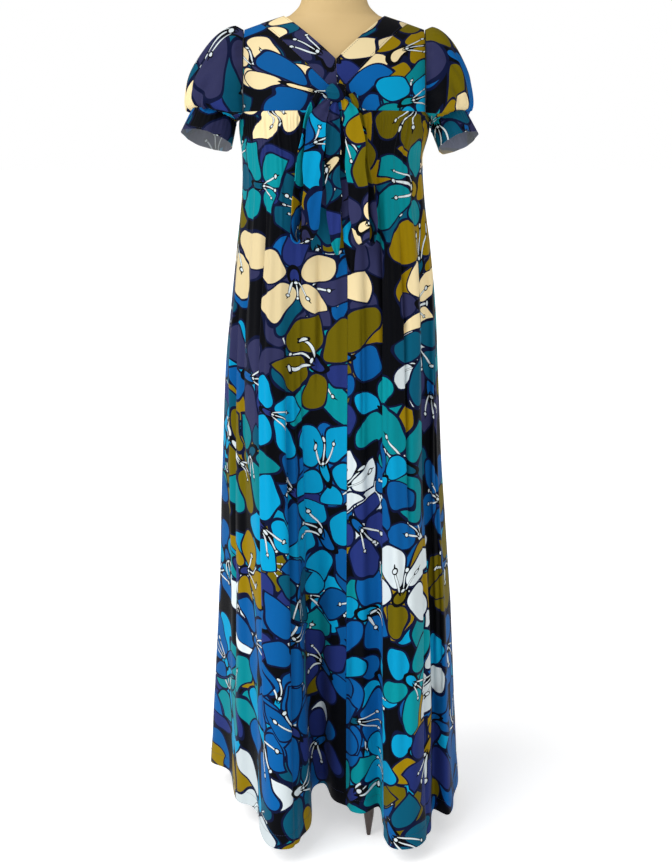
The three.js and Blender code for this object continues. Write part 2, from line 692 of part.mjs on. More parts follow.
function knot() {
  const rings = [];
  const front = skirtFrontSmooth(KNOT.x, KNOT.z) - KNOT.off;
  for (let r = 0; r <= KNOT.rows; r += 1) {
    const rise = mix(-0.94, 0.94, r / KNOT.rows);
    const girth = (1 - Math.abs(rise) ** 2.6) ** 0.42;
    const ring = [];
    for (let c = 0; c < KNOT.columns; c += 1) {
      const turn = (c / KNOT.columns) * 2 * Math.PI;
      const ridge = 1 + 0.05 * Math.cos(4 * turn + rise * 3);
      const slope = 1 + 0.06 * rise;
      ring.push(V3(
        KNOT.x + KNOT.halfWidth * girth * slope * ridge * signedPower(Math.cos(turn), 0.8),
        front + KNOT.halfDepth * girth * ridge * signedPower(Math.sin(turn), 0.8),
        KNOT.z + KNOT.halfHeight * rise,
      ));
    }
    rings.push(ring);
  }
  return stack('tie_knot', rings);
}

function dressForm() {
  const rings = FORM.map((row) => {
    const ring = [];
    for (let c = 0; c < FORM_COLUMNS; c += 1) {
      const turn = (c / FORM_COLUMNS) * 2 * Math.PI;
      const s = signedPower(Math.sin(turn), 2 / row.square);
      const k = signedPower(Math.cos(turn), 2 / row.square);
      ring.push(V3(YOKE.middle + row.half * s, -(k > 0 ? row.front : row.back) * k, row.z));
    }
    return ring;
  });
  return stack('form_torso', rings);
}

function turned(name, rows, columns) {
  const rings = rows.map(([z, radius]) => {
    const ring = [];
    for (let c = 0; c < columns; c += 1) {
      const turn = (c / columns) * 2 * Math.PI;
      ring.push(V3(POLE.x + radius * Math.cos(turn), POLE.y + radius * Math.sin(turn), z));
    }
    return ring;
  });
  return stack(name, rings);
}

function leg(name, degrees) {
  const turn = THREE.MathUtils.degToRad(degrees);
  const away = V3(Math.cos(turn), Math.sin(turn), 0);
  const sideways = V3(-Math.sin(turn), Math.cos(turn), 0);
  const rings = LEG.map((row, i) => {
    const before = LEG[Math.max(0, i - 1)];
    const after = LEG[Math.min(LEG.length - 1, i + 1)];
    const run = away.clone().multiplyScalar(after.out - before.out);
    run.z = after.z - before.z;
    if (i === 0) run.set(away.x, away.y, 0);
    if (i >= LEG.length - 2) run.set(0, 0, -1);
    run.normalize();
    const up = sideways.clone().cross(run).normalize();
    const middle = away.clone().multiplyScalar(row.out).add(V3(POLE.x, POLE.y, row.z));
    const ring = [];
    for (let c = 0; c < 14; c += 1) {
      const around = (c / 14) * 2 * Math.PI;
      ring.push(middle.clone()
        .addScaledVector(sideways, row.radius * Math.cos(around))
        .addScaledVector(up, row.radius * Math.sin(around)));
    }
    return ring;
  });
  return stack(name, rings);
}

const COLOURS = { cloth: 0x1c6f96, tie: 0x2b8aa3, form: 0xcdb07c, wood: 0x3a2117 };

const pieces = [
  [skirtPanel('skirt_front_right', 0, SIDE_RIGHT, FRONT_STEPS), COLOURS.cloth],
  [skirtPanel('skirt_back', SIDE_RIGHT, SIDE_LEFT, BACK_STEPS), COLOURS.cloth],
  [skirtPanel('skirt_front_left', SIDE_LEFT, FOLDS.length, FRONT_STEPS), COLOURS.cloth],
  [yokeFront('yoke_front_left', -1), COLOURS.cloth],
  [yokeFront('yoke_front_right', 1), COLOURS.cloth],
  [yokeBack(), COLOURS.cloth],
  [bandFront('neckband_left', -1), COLOURS.tie],
  [bandFront('neckband_right', 1), COLOURS.tie],
  [bandBack(), COLOURS.tie],
  [sleeve(SLEEVES[0]), COLOURS.cloth],
  [sleeve(SLEEVES[1]), COLOURS.cloth],
  [cuff(SLEEVES[0]), COLOURS.tie],
  [cuff(SLEEVES[1]), COLOURS.tie],
  [knot(), COLOURS.tie],
  [strip('tie_loop_left', LOOP_LEFT, 2), COLOURS.tie],
  [strip('tie_loop_right', LOOP_RIGHT, 2), COLOURS.tie],
  [strip('tie_tail_left', TAIL_LEFT, 2), COLOURS.tie],
  [strip('tie_tail_right', TAIL_RIGHT, 2), COLOURS.tie],
  [dressForm(), COLOURS.form],
  [turned('stand_pole', [[POLE.foot, POLE.radius], [FORM[0].z - 0.4, POLE.radius]], 24), COLOURS.wood],
  [turned('stand_hub', [
    [HUB.bottom, HUB.radius * 0.6],
    [HUB.bottom + 8, HUB.radius],
    [HUB.top - 10, HUB.radius],
    [HUB.top, HUB.radius * 0.75],
  ], 24), COLOURS.wood],
  ...LEG_TURNS.map((degrees, i) => [leg('stand_leg_' + (i + 1), degrees), COLOURS.wood]),
];

const model = new THREE.Group();
model.name = 'maxi_dress_on_form';
for (const [piece, colour] of pieces) {
  const material = new THREE.MeshStandardMaterial({ color: colour, roughness: 0.8 });
  const mesh = new THREE.Mesh(piece.geometry, material);
  mesh.name = piece.name;
  model.add(mesh);
}

export default model;
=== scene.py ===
"""Printed maxi dress with a tie at the V neck, on a dress form with a wooden tripod stand.

Lengths in the tables are millimetres and angles degrees; +Z is up and the front faces -Y.
"""

import math
from collections import namedtuple

import bpy
import numpy as np
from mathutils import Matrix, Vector


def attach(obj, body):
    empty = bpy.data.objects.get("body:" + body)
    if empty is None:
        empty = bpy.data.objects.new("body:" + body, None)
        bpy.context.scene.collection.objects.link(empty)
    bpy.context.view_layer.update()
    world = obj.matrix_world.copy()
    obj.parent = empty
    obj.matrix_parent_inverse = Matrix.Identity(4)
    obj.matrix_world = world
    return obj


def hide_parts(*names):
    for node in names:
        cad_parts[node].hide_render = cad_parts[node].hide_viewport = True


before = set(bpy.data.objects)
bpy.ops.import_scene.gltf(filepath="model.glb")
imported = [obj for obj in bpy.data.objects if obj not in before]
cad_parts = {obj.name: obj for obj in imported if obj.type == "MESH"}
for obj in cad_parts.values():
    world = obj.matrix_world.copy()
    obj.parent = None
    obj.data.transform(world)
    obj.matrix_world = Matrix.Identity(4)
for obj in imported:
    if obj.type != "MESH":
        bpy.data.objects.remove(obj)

bl_info = {
    "name": "Maxi dress on a form",
    "version": (1, 0, 0),
    "blender": (4, 5, 0),
    "location": "View3D > Sidebar > Dress",
    "description": "Builds a gathered maxi dress with puff sleeves and a tie, on its dress form",
    "category": "Object",
}

MM = 0.001
MIDDLE = np.array([-11.0, -11.8, 0.0])
QUARTER = math.pi / 2
ROUND = 2 * math.pi

# Yoke and tube: squareness of their plan, roundness of the arch from front to back, shoulder line,
# seam under the yoke with its dip under the arms and half its gap, gap at the shoulder in radians.
PLAN = 2.3
ARCH_FRONT, ARCH_BACK = 1.8, 2.1
SHOULDER_SLOPE, SHOULDER_ROUND, SHOULDER_FALL = 0.27, 30, 0.0003
YOKE_SEAM_Z, UNDERARM_DIP, SEAM_DROP = 1290, 7, 0.2
SHOULDER_GAP = 0.005

# Neckband: outer edge and shift at the tie, curve of the outer edge, gap beside it, and how far
# its edges fall at the back of the neck, in radians of the arch.
BAND_JOIN, BAND_SHIFT, BAND_CURVE, BAND_GAP = 15.0, 4.5, 1.9, 0.76
BACK_NECK_FALL, BACK_BAND_FALL = 0.62, 0.86
FRONT_SEAM_X = 17

# Plain tube of the dress under the folds: half widths and depths by height.
Tube = namedtuple("Tube", "z left right front back")
TUBE = (
    Tube(1290, 168, 162, 125, 112),
    Tube(1230, 164, 151, 127, 112),
    Tube(1143, 167, 156, 128, 113),
    Tube(1072, 175, 166, 130, 117),
    Tube(955, 188, 178, 134, 132),
    Tube(863, 198, 183, 138, 146),
    Tube(781, 203, 187, 142, 152),
    Tube(675, 208, 192, 146, 158),
    Tube(579, 213, 199, 149, 163),
    Tube(481, 217, 206, 152, 167),
    Tube(402, 222, 212, 154, 170),
    Tube(210, 234, 221, 158, 177),
    Tube(101, 241, 227, 160, 181),
    Tube(45, 245, 231, 161, 183),
)

# Fold lines from the yoke seam to the hem: turn round the seam in degrees, place on the hem and
# how late each deepens.
Fold = namedtuple("Fold", "name turn x y z grow")
FOLDS = (
    Fold("front_seam", 5, 17, -142, 58, 1.5),
    Fold("inner_ridge", 12, 46, -172, 58, 1.4),
    Fold("inner_trough", 20, 79, -152, 60, 1.6),
    Fold("right_wall_in", 26, 84, -208, 38, 1.3),
    Fold("right_crest_in", 33, 101, -252, 32, 1.2),
    Fold("right_crest_out", 44, 140, -249, 32, 1.2),
    Fold("right_wall_out", 54, 165, -206, 36, 1.3),
    Fold("right_trough", 63, 175, -132, 46, 1.6),
    Fold("right_small_ridge", 74, 207, -142, 42, 1.3),
    Fold("right_side", 90, 231, -28, 50, 1.0),
    Fold("right_back_ridge", 102, 226, 66, 48, 1.2),
    Fold("right_back_trough", 116, 179, 116, 50, 1.7),
    Fold("back_1_wall_in", 128, 166, 190, 44, 1.3),
    Fold("back_1_crest", 138, 128, 232, 40, 1.2),
    Fold("back_1_wall_out", 149, 88, 210, 44, 1.3),
    Fold("back_1_trough", 159, 62, 146, 52, 1.8),
    Fold("back_2_crest", 170, 28, 192, 46, 1.4),
    Fold("back_2_wall", 181, -14, 200, 46, 1.4),
    Fold("back_2_trough", 191, -38, 148, 52, 1.8),
    Fold("back_3_wall_in", 202, -70, 204, 44, 1.3),
    Fold("back_3_crest", 214, -114, 234, 40, 1.2),
    Fold("back_3_wall_out", 226, -156, 200, 44, 1.3),
    Fold("left_back_trough", 240, -176, 132, 52, 1.7),
    Fold("left_back_ridge", 255, -222, 142, 48, 1.2),
    Fold("left_side", 270, -245, 72, 48, 1.0),
    Fold("left_trough", 284, -203, 14, 52, 1.5),
    Fold("left_small_ridge", 294, -183, -92, 45, 1.3),
    Fold("left_shelf", 303, -147, -132, 45, 1.3),
    Fold("left_wall_out", 311, -134, -196, 37, 1.2),
    Fold("left_crest_out", 318, -112, -251, 33, 1.2),
    Fold("left_crest_in", 328, -73, -250, 33, 1.2),
    Fold("left_wall_in", 336, -48, -192, 40, 1.4),
    Fold("recess_side", 343, -45, -92, 62, 1.9),
    Fold("recess_floor", 350, -22, -66, 66, 2.1),
    Fold("recess_step", 358, -6, -116, 61, 1.7),
)
SIDE_RIGHT, SIDE_LEFT = 9, 24

# Small gathers under the yoke seam: shares of the drop that they reach, and how often each comes.
GATHER_REACH = (0.035, 0.06, 0.1, 0.17)
GATHER_ODDS = (0.35, 0.3, 0.22, 0.13)

# Soft creases of the skirt: place among the fold lines at the top and the bottom, shares of the
# drop where each starts and ends, height (a trough is negative) and half width in places.
CREASE_SCALE, CREASE_FADE = 1.35, 0.16
Crease = namedtuple("Crease", "top bottom start end height width")
CREASES = (
    Crease(2.6, 2.9, 0.05, 0.62, -5.0, 0.30),
    Crease(3.6, 3.9, 0.02, 0.5, 4.0, 0.34),
    Crease(4.6, 4.5, 0.1, 0.95, -4.5, 0.26),
    Crease(5.6, 5.7, 0.0, 0.45, 4.0, 0.30),
    Crease(6.6, 6.6, 0.08, 0.8, -4.0, 0.30),
    Crease(7.6, 7.7, 0.1, 0.7, 3.0, 0.3),
    Crease(8.4, 8.6, 0.2, 1.0, -4.0, 0.25),
    Crease(1.4, 1.5, 0.1, 0.9, -3.5, 0.28),
    Crease(0.6, 0.5, 0.3, 1.0, 3.0, 0.26),
    Crease(34.2, 34.4, 0.05, 0.55, 3.5, 0.3),
    Crease(33.2, 33.1, 0.02, 0.4, -3.5, 0.35),
    Crease(32.0, 31.6, 0.06, 0.7, 4.5, 0.36),
    Crease(30.6, 30.6, 0.3, 1.0, -5.5, 0.28),
    Crease(29.4, 29.1, 0.06, 0.6, 5.0, 0.22),
    Crease(28.4, 28.2, 0.05, 0.75, -5.0, 0.28),
    Crease(27.3, 27.4, 0.0, 0.4, 3.5, 0.3),
    Crease(26.4, 26.5, 0.1, 1.0, -4.0, 0.28),
    Crease(25.3, 25.4, 0.15, 0.75, 3.5, 0.28),
    Crease(10.4, 10.6, 0.05, 0.6, -3.5, 0.3),
    Crease(11.6, 11.5, 0.0, 0.4, 4.0, 0.34),
    Crease(13.5, 13.4, 0.15, 0.95, -4.5, 0.3),
    Crease(14.7, 14.6, 0.03, 0.55, 3.5, 0.3),
    Crease(16.4, 16.5, 0.1, 0.8, -3.5, 0.3),
    Crease(18.4, 18.5, 0.0, 0.45, 3.5, 0.3),
    Crease(19.6, 19.5, 0.2, 1.0, -4.5, 0.28),
    Crease(21.4, 21.3, 0.05, 0.6, 4.0, 0.32),
    Crease(22.6, 22.6, 0.1, 0.85, -3.5, 0.3),
    Crease(23.5, 23.5, 0.0, 0.5, 3.0, 0.3),
)

# Deep folds where one side laps over the other: as above, with the depth of the slit, the height
# of the lip beside it, and the side that the lip is on. A lap that ends past LAP_OPEN runs on to
# the hem and only flattens.
LAP_FADE_IN, LAP_FADE_OUT, LAP_OPEN, LAP_FLATTEN = 0.2, 0.12, 0.93, 0.6
LIP_PLACE, LIP_WIDTH, LIP_LEAN = 2.1, 1.5, 2.6
Lap = namedtuple("Lap", "top bottom start end depth lip width side")
LAPS = (
    Lap(28.55, 28.35, 0.1, 0.9, 9.0, 5.5, 0.15, 1),
    Lap(31.3, 30.15, 0.3, 1.0, 9.0, 4.5, 0.15, 1),
    Lap(25.6, 25.5, 0.2, 0.9, 8.0, 3.5, 0.14, -1),
    Lap(33.4, 33.0, 0.12, 0.42, 5.0, 2.5, 0.13, -1),
    Lap(1.0, 1.1, 0.22, 0.5, 4.5, 2.5, 0.13, -1),
    Lap(2.75, 2.85, 0.12, 0.98, 9.0, 4.5, 0.15, 1),
    Lap(4.75, 5.1, 0.08, 0.62, 9.0, 5.0, 0.15, -1),
    Lap(6.2, 5.9, 0.5, 0.96, 7.0, 4.0, 0.14, 1),
    Lap(7.9, 7.55, 0.25, 0.86, 7.5, 3.5, 0.14, -1),
    Lap(10.9, 11.1, 0.12, 0.8, 7.0, 4.0, 0.15, 1),
    Lap(13.1, 13.0, 0.25, 0.95, 8.0, 4.0, 0.14, -1),
    Lap(15.6, 15.4, 0.06, 0.6, 7.0, 4.0, 0.15, 1),
    Lap(17.5, 17.7, 0.2, 0.9, 8.0, 4.5, 0.14, -1),
    Lap(20.5, 20.4, 0.1, 0.75, 8.5, 4.0, 0.15, 1),
    Lap(22.1, 22.0, 0.35, 0.98, 7.0, 4.0, 0.14, -1),
)

# Skirt panels: first and last fold line, columns and place on the printed cloth in metres.
Panel = namedtuple("Panel", "name start end columns shift")
PANELS = (
    Panel("skirt_front_right", 0, SIDE_RIGHT, 250, (0.0, 0.0)),
    Panel("skirt_back", SIDE_RIGHT, SIDE_LEFT, 350, (3.1, 0.0)),
    Panel("skirt_front_left", SIDE_LEFT, len(FOLDS), 290, (1.37, 0.0)),
)

Sleeve = namedtuple("Sleeve", "name side cuff_x cuff_z lean forward radius depth puff flare")
SLEEVES = (
    Sleeve("left", -1, 213, 1283, 0.3, 0.32, 40, 43, 35, 6),
    Sleeve("right", 1, 197, 1277, 0.42, 0.34, 34, 43, 33, 3),
)

# Sleeves: space beside the armhole, puff at the sides and under the arm, gathers round the arm,
# how far the puff is drawn in for them; gap above the cuff and the cuff's length.
SLEEVE_START = 2.4
SLEEVE_SIDE_PUFF, SLEEVE_UNDER_PUFF = 17, 1.5
SLEEVE_GATHERS = 34
SLEEVE_INSET = 1.5
CUFF_GAP, CUFF_LENGTH = 1.8, 41

# Soft creases of a sleeve: turn round it, share down it, half width, half length and height.
Dent = namedtuple("Dent", "turn down width length height")
SLEEVE_DENTS = (
    Dent(1.2, 0.5, 0.18, 0.28, -8.0),
    Dent(2.2, 0.55, 0.2, 0.3, -7.0),
    Dent(0.5, 0.6, 0.14, 0.26, -8.0),
    Dent(0.1, 0.35, 0.2, 0.2, 4.0),
    Dent(1.7, 0.7, 0.2, 0.22, 5.0),
    Dent(2.8, 0.4, 0.2, 0.28, -6.5),
    Dent(0.82, 0.3, 0.1, 0.25, -6.0),
)

# Dress form by height: half width, depth to the front and to the back, squareness.
Ring = namedtuple("Ring", "z half front back square")
FORM = (
    Ring(800, 152, 92, 104, 2.2),
    Ring(806, 160, 98, 112, 2.2),
    Ring(860, 166, 102, 120, 2.2),
    Ring(950, 156, 100, 108, 2.2),
    Ring(1060, 126, 92, 88, 2.1),
    Ring(1140, 136, 98, 90, 2.1),
    Ring(1220, 149, 113, 99, 2.2),
    Ring(1280, 153, 118, 103, 2.3),
    Ring(1340, 150, 106, 98, 2.5),
    Ring(1380, 146, 89, 88, 2.6),
    Ring(1408, 142, 74, 76, 2.4),
    Ring(1423, 134.5, 63, 68, 2.15),
    Ring(1435.7, 119.8, 56, 60, 1.85),
    Ring(1445.9, 99.7, 53, 55, 1.7),
    Ring(1454, 77, 51, 52, 1.75),
    Ring(1469, 61, 50, 51, 1.9),
    Ring(1486, 55, 49, 50, 2.0),
    Ring(1516, 52, 47, 48, 2.0),
    Ring(1524, 47, 42, 43, 2.0),
)

Leg = namedtuple("Leg", "out z radius")
LEG = (
    Leg(26.4, 168, 12.5),
    Leg(60, 167, 12.5),
    Leg(105, 150, 12.2),
    Leg(142, 116, 12),
    Leg(163, 76, 11.6),
    Leg(170, 44, 9.6),
    Leg(170, 20, 6.4),
    Leg(170, 0, 3.6),
)
LEG_TURNS = (-68.4, 51.6, 171.6)
POLE = {"x": -3.0, "y": 20.0, "radius": 14.0, "foot": 200.0, "top": 799.6}
HUB = {"radius": 26.0, "bottom": 138.0, "top": 199.6}

# Tie ends: middle line of each strip, distance from the skirt, twist and width.
Tie = namedtuple("Tie", "x z off twist width")
LOOP_LEFT = (
    Tie(-12.4, 1306.3, 8, 12, 9),
    Tie(-28, 1280, 21, 16, 28),
    Tie(-35, 1240, 24, 14, 33),
    Tie(-39, 1170, 24, 14, 33),
    Tie(-43, 1108, 24, 24, 32),
    Tie(-50, 1080, 24, 46, 31),
    Tie(-60, 1073, 22, 64, 31),
    Tie(-69, 1086, 19, 66, 30),
    Tie(-66, 1130, 18, 58, 30),
    Tie(-55, 1200, 17, 46, 28),
    Tie(-44, 1268, 15, 34, 24),
    Tie(-33, 1303, 12, 28, 17),
    Tie(-26, 1317, 14, 14, 11),
)
LOOP_RIGHT = (
    Tie(12.8, 1306, 8, -10, 9),
    Tie(23, 1282, 23, -8, 28),
    Tie(31, 1240, 26, -6, 33),
    Tie(35, 1170, 25, -6, 33),
    Tie(39, 1108, 25, -18, 32),
    Tie(45, 1078, 25, -40, 30),
    Tie(53, 1068, 22, -58, 28),
    Tie(60, 1080, 19, -58, 26),
    Tie(58, 1130, 16, -46, 24),
    Tie(48, 1200, 13, -36, 22),
    Tie(39, 1268, 10, -30, 19),
    Tie(32, 1303, 11, -22, 15),
    Tie(26, 1317, 13, -10, 11),
)
TAIL_LEFT = (
    Tie(-1.5, 1302.3, 6.4, 4, 9),
    Tie(-4, 1278, 10, 5, 20),
    Tie(-5, 1220, 9, 4, 25),
    Tie(-4, 1130, 10, -2, 25),
    Tie(-1, 1075, 9, -4, 15),
    Tie(2, 1052, 9, 0, 4),
)
TAIL_RIGHT = (
    Tie(5, 1302.3, 2.6, 0, 9),
    Tie(13, 1278, 3, 0, 24),
    Tie(20, 1210, 2.7, 0, 28),
    Tie(24, 1100, 3, 0, 27),
    Tie(25, 1046, 3, 0, 15),
    Tie(27, 1022, 3, 0, 4),
)
# How far under the yoke seam the tie's back starts to follow the yoke, and its space before it.
TIE_BLEND, TIE_CLEAR = 70, 3.2
KNOT = {"x": 0.0, "z": 1318.0, "off": 5.2, "width": 16.0, "height": 15.5, "depth": 9.0}

# Flat cut of each cloth piece: width and length in metres, and the cut's own area.
Cut = namedtuple("Cut", "width length area held rests_on")

# Colours of the cloth, the form and the stand, 0 to 255.
COLOURS = {
    "ground": (3, 4, 9),
    "line": (9, 18, 52),
    "turquoise": (0, 134, 144),
    "cyan": (0, 148, 194),
    "mid_blue": (4, 88, 154),
    "deep_teal": (2, 80, 106),
    "purple": (46, 48, 84),
    "navy": (34, 48, 112),
    "olive": (104, 92, 2),
    "gold": (144, 118, 2),
    "cream": (234, 214, 166),
    "white": (212, 222, 225),
    "thread": (20, 26, 60),
    "form": (214, 184, 130),
    "wood": (40, 20, 12),
    "stage": (250, 250, 250),
}


def linear(name):
    """Colour of the table as scene-linear numbers."""
    out = []
    for value in COLOURS[name]:
        share = value / 255
        out.append(share / 12.92 if share <= 0.04045 else ((share + 0.055) / 1.055) ** 2.4)
    return (*out, 1.0)


# Sizes that the operators read.


class ClothSizes(bpy.types.PropertyGroup):
    """Sizes of the cloth and its seams."""

    cloth: bpy.props.FloatProperty(
        name="Cloth", description="Thickness of one layer", default=0.0009, unit="LENGTH"
    )
    band: bpy.props.FloatProperty(
        name="Band",
        description="Thickness of the bands and cuffs, two layers",
        default=0.0014,
        unit="LENGTH",
    )
    tie: bpy.props.FloatProperty(
        name="Tie", description="Thickness of the tie, two layers", default=0.0018, unit="LENGTH"
    )
    seam: bpy.props.FloatProperty(
        name="Seam", description="Space between two pieces at a seam", default=0.0004, unit="LENGTH"
    )
    yoke_seam: bpy.props.FloatProperty(
        name="Yoke seam",
        description="Height of the seam under the yoke",
        default=1.29,
        unit="LENGTH",
    )
    hem: bpy.props.FloatProperty(
        name="Hem", description="Height of the hem", default=0.045, unit="LENGTH"
    )
    hem_depth: bpy.props.FloatProperty(
        name="Hem depth", description="Cloth turned up at the hem", default=0.024, unit="LENGTH"
    )
    gathers: bpy.props.IntProperty(
        name="Gathers", description="Small gathers round the yoke seam", default=104
    )
    gather_depth: bpy.props.FloatProperty(
        name="Gather depth",
        description="Height of the largest gathers",
        default=0.0034,
        unit="LENGTH",
    )


class YokeSizes(bpy.types.PropertyGroup):
    """Sizes of the yoke, its neck and its armholes."""

    half: bpy.props.FloatProperty(
        name="Half", description="Half width", default=0.165, unit="LENGTH"
    )
    middle: bpy.props.FloatProperty(
        name="Middle", description="Place across", default=-0.003, unit="LENGTH"
    )
    front: bpy.props.FloatProperty(
        name="Front", description="Depth to the front", default=0.125, unit="LENGTH"
    )
    back: bpy.props.FloatProperty(
        name="Back", description="Depth to the back", default=0.112, unit="LENGTH"
    )
    crown: bpy.props.FloatProperty(
        name="Crown", description="Top of the shoulders", default=1.48, unit="LENGTH"
    )
    armhole: bpy.props.FloatProperty(
        name="Armhole", description="Place across", default=0.155, unit="LENGTH"
    )
    neck: bpy.props.FloatProperty(
        name="Neck", description="Neck point across", default=0.087, unit="LENGTH"
    )
    band: bpy.props.FloatProperty(
        name="Band", description="Band's outer edge", default=0.127, unit="LENGTH"
    )
    v_point: bpy.props.FloatProperty(
        name="V point", description="Height", default=1.374, unit="LENGTH"
    )
    tie_line: bpy.props.FloatProperty(
        name="Tie line", description="Height", default=1.333, unit="LENGTH"
    )


class StageSizes(bpy.types.PropertyGroup):
    """Camera and light."""

    distance: bpy.props.FloatProperty(
        name="Distance", description="Camera to dress", default=2.5, unit="LENGTH"
    )
    height: bpy.props.FloatProperty(
        name="Height", description="Camera height", default=1.2, unit="LENGTH"
    )
    pitch: bpy.props.FloatProperty(
        name="Pitch",
        description="Camera looks down by",
        default=math.radians(10.85),
        unit="ROTATION",
    )
    lens: bpy.props.FloatProperty(
        name="Lens", description="Focal length in millimetres", default=58.0
    )
    fill: bpy.props.FloatProperty(
        name="Fill", description="Strength of the even light", default=0.24
    )
    key: bpy.props.FloatProperty(
        name="Key", description="Strength of the soft light from the left", default=1.9
    )
    front: bpy.props.FloatProperty(
        name="Front", description="Strength of the light from the front", default=0.36
    )
    top: bpy.props.FloatProperty(
        name="Top", description="Strength of the light from above", default=0.5
    )
    sweep: bpy.props.FloatProperty(
        name="Sweep", description="Light that the floor itself gives", default=0.5
    )


# Small number helpers, all on arrays.


def ease(value):
    share = np.clip(value, 0.0, 1.0)
    return share * share * (3 - 2 * share)


def signed(value, power):
    return np.sign(value) * np.abs(value) ** power


def mix(a, b, share):
    return a + (b - a) * share


def hump(away, width):
    """Smooth ridge of height 1 that is gone about two widths away."""
    return np.exp(-((away / width) ** 2))


def unit(vectors):
    return vectors / np.linalg.norm(vectors, axis=-1, keepdims=True)


def dot(a, b):
    return np.sum(a * b, axis=-1)


def cubic(a, b, c, d, t):
    """Smooth curve from b to c through the four values, at shares t of the way."""
    square = (2 * a - 5 * b + 4 * c - d) * t**2
    cube = (3 * b - a - 3 * c + d) * t**3
    return b + 0.5 * ((c - a) * t + square + cube)


def along(rows, column, place):
    """Column of a table at places along its rows."""
    values = np.array([getattr(row, column) for row in rows], float)
    last = len(values) - 1
    at = np.clip(np.asarray(place, float), 0, last - 1e-9)
    i = np.floor(at).astype(int)
    pick = lambda k: values[np.clip(i + k, 0, last)]
    return cubic(pick(-1), pick(0), pick(1), pick(2), at - i)


def place_of_height(rows, z):
    heights = np.array([row.z for row in rows], float)
    return np.interp(-np.asarray(z, float), -heights, np.arange(len(rows)))


def grid_normals(points, ring=False):
    """Normals of a grid of points, rows by columns."""
    down = np.gradient(points, axis=0)
    if ring:
        across = (np.roll(points, -1, axis=1) - np.roll(points, 1, axis=1)) / 2
    else:
        across = np.gradient(points, axis=1)
    normal = np.cross(across, down)
    return normal / np.maximum(np.linalg.norm(normal, axis=2, keepdims=True), 1e-12)


def run_length(points, axis):
    """Length along a grid from its first row or column."""
    steps = np.linalg.norm(np.diff(points, axis=axis), axis=2)
    start = np.zeros_like(np.take(steps, [0], axis=axis))
    return np.concatenate([start, np.cumsum(steps, axis=axis)], axis=axis)


def drop_length(points):
    """Mean length down a grid to each of its rows."""
    return run_length(points, 0).mean(axis=1, keepdims=True)


# The forms, in millimetres.


def tube_point(turn, z):
    """Plain tube at a turn from the front and at heights."""
    place = place_of_height(TUBE, z)
    s, c = math.sin(turn), math.cos(turn)
    half = along(TUBE, "left" if s < 0 else "right", place)
    depth = along(TUBE, "front" if c > 0 else "back", place)
    return half * signed(s, 2 / PLAN), -depth * signed(c, 2 / PLAN)


def fold_lines(cloth, share):
    """Fold lines at shares of the drop: an array of rows, lines and coordinates."""
    top, hem = cloth.yoke_seam / MM, cloth.hem / MM
    level = 1 - ease(share * 16)
    lines = []
    for fold in FOLDS:
        turn = math.radians(fold.turn)
        top_x, top_y = tube_point(turn, top)
        hem_x, hem_y = tube_point(turn, hem)
        x, y = tube_point(turn, mix(top, hem, share))
        pull = np.where(share > 0, np.maximum(share, 1e-9) ** fold.grow, 0.0)
        x = mix(x + pull * (fold.x - hem_x), top_x, level)
        y = mix(y + pull * (fold.y - hem_y), top_y, level)
        lines.append(np.stack([x, y, mix(top - SEAM_DROP, fold.z, share)], axis=1))
    return np.stack(lines, axis=1)


def skirt_base(cloth, place, share):
    """Skirt without its small folds, at places among the fold lines and shares of the drop."""
    lines = fold_lines(cloth, share)
    i = np.floor(place).astype(int)
    pick = lambda k: lines[:, (i + k) % len(FOLDS), :]
    return cubic(pick(-1), pick(0), pick(1), pick(2), (place - i)[None, :, None])


def skirt_relief(cloth, place, share):
    """Height of the gathers and creases over the plain skirt, and how far they lean along it."""
    rng = np.random.default_rng(11)
    spacing = len(FOLDS) / cloth.gathers
    place, s = place[None, :], share[:, None]
    relief = np.zeros((s.size, place.size))
    for k in range(-3, cloth.gathers + 3):
        centre = (k + rng.uniform(-0.26, 0.26)) * spacing
        depth = cloth.gather_depth / MM * rng.uniform(0.4, 1.0)
        reach = rng.choice(GATHER_REACH, p=GATHER_ODDS)
        width = spacing * rng.uniform(0.26, 0.4)
        drift = rng.uniform(-0.5, 0.5) * spacing
        line = centre + drift * s / reach * 0.3
        rise = ease(s / 0.012) * np.exp(-((s / reach) ** 1.4))
        relief += depth * rise * hump(place - line, width * (1 + s / reach * 0.5))
    for crease in CREASES:
        line = mix(crease.top, crease.bottom, s)
        window = ease((s - crease.start) / CREASE_FADE)
        if crease.end < 1:
            left = (s - crease.end + CREASE_FADE) / CREASE_FADE
            window = window * (1 - ease(left * 0.8))
        relief += CREASE_SCALE * crease.height * window * hump(place - line, crease.width)
    sideways = np.zeros_like(relief)
    for lap in LAPS:
        away = place - mix(lap.top, lap.bottom, s)
        window = ease((s - lap.start) / LAP_FADE_IN)
        if lap.end > LAP_OPEN:
            window = window * (1 - LAP_FLATTEN * ease((s - 0.8) / 0.2))
        else:
            window = window * (1 - ease((s - lap.end + LAP_FADE_OUT) / LAP_FADE_OUT))
        lip = hump(away - lap.side * LIP_PLACE * lap.width, LIP_WIDTH * lap.width)
        relief += window * (lap.lip * lip - lap.depth * hump(away, lap.width))
        sideways -= window * lap.side * LIP_LEAN * lip
    sway = 1.1 * np.sin(place * 2.3 + 5 * s) + 0.8 * np.sin(place * 4.1 - 9 * s + 1.3)
    return relief + sway * ease(s / 0.2), sideways


def underarm_dip(yoke, points):
    """How far the top of the skirt drops under the armholes."""
    armhole, middle = yoke.armhole / MM, yoke.middle / MM
    front, back = (abs(yoke_point(yoke, armhole, angle)[1]) for angle in (0.0, math.pi))
    edge = np.where(points[..., 1] < 0, front, back)
    dip = UNDERARM_DIP * np.sqrt(np.clip(1 - (points[..., 1] / edge) ** 2, 0, 1))
    return np.where(np.abs(points[..., 0] - middle) < armhole - 12, 0, dip)


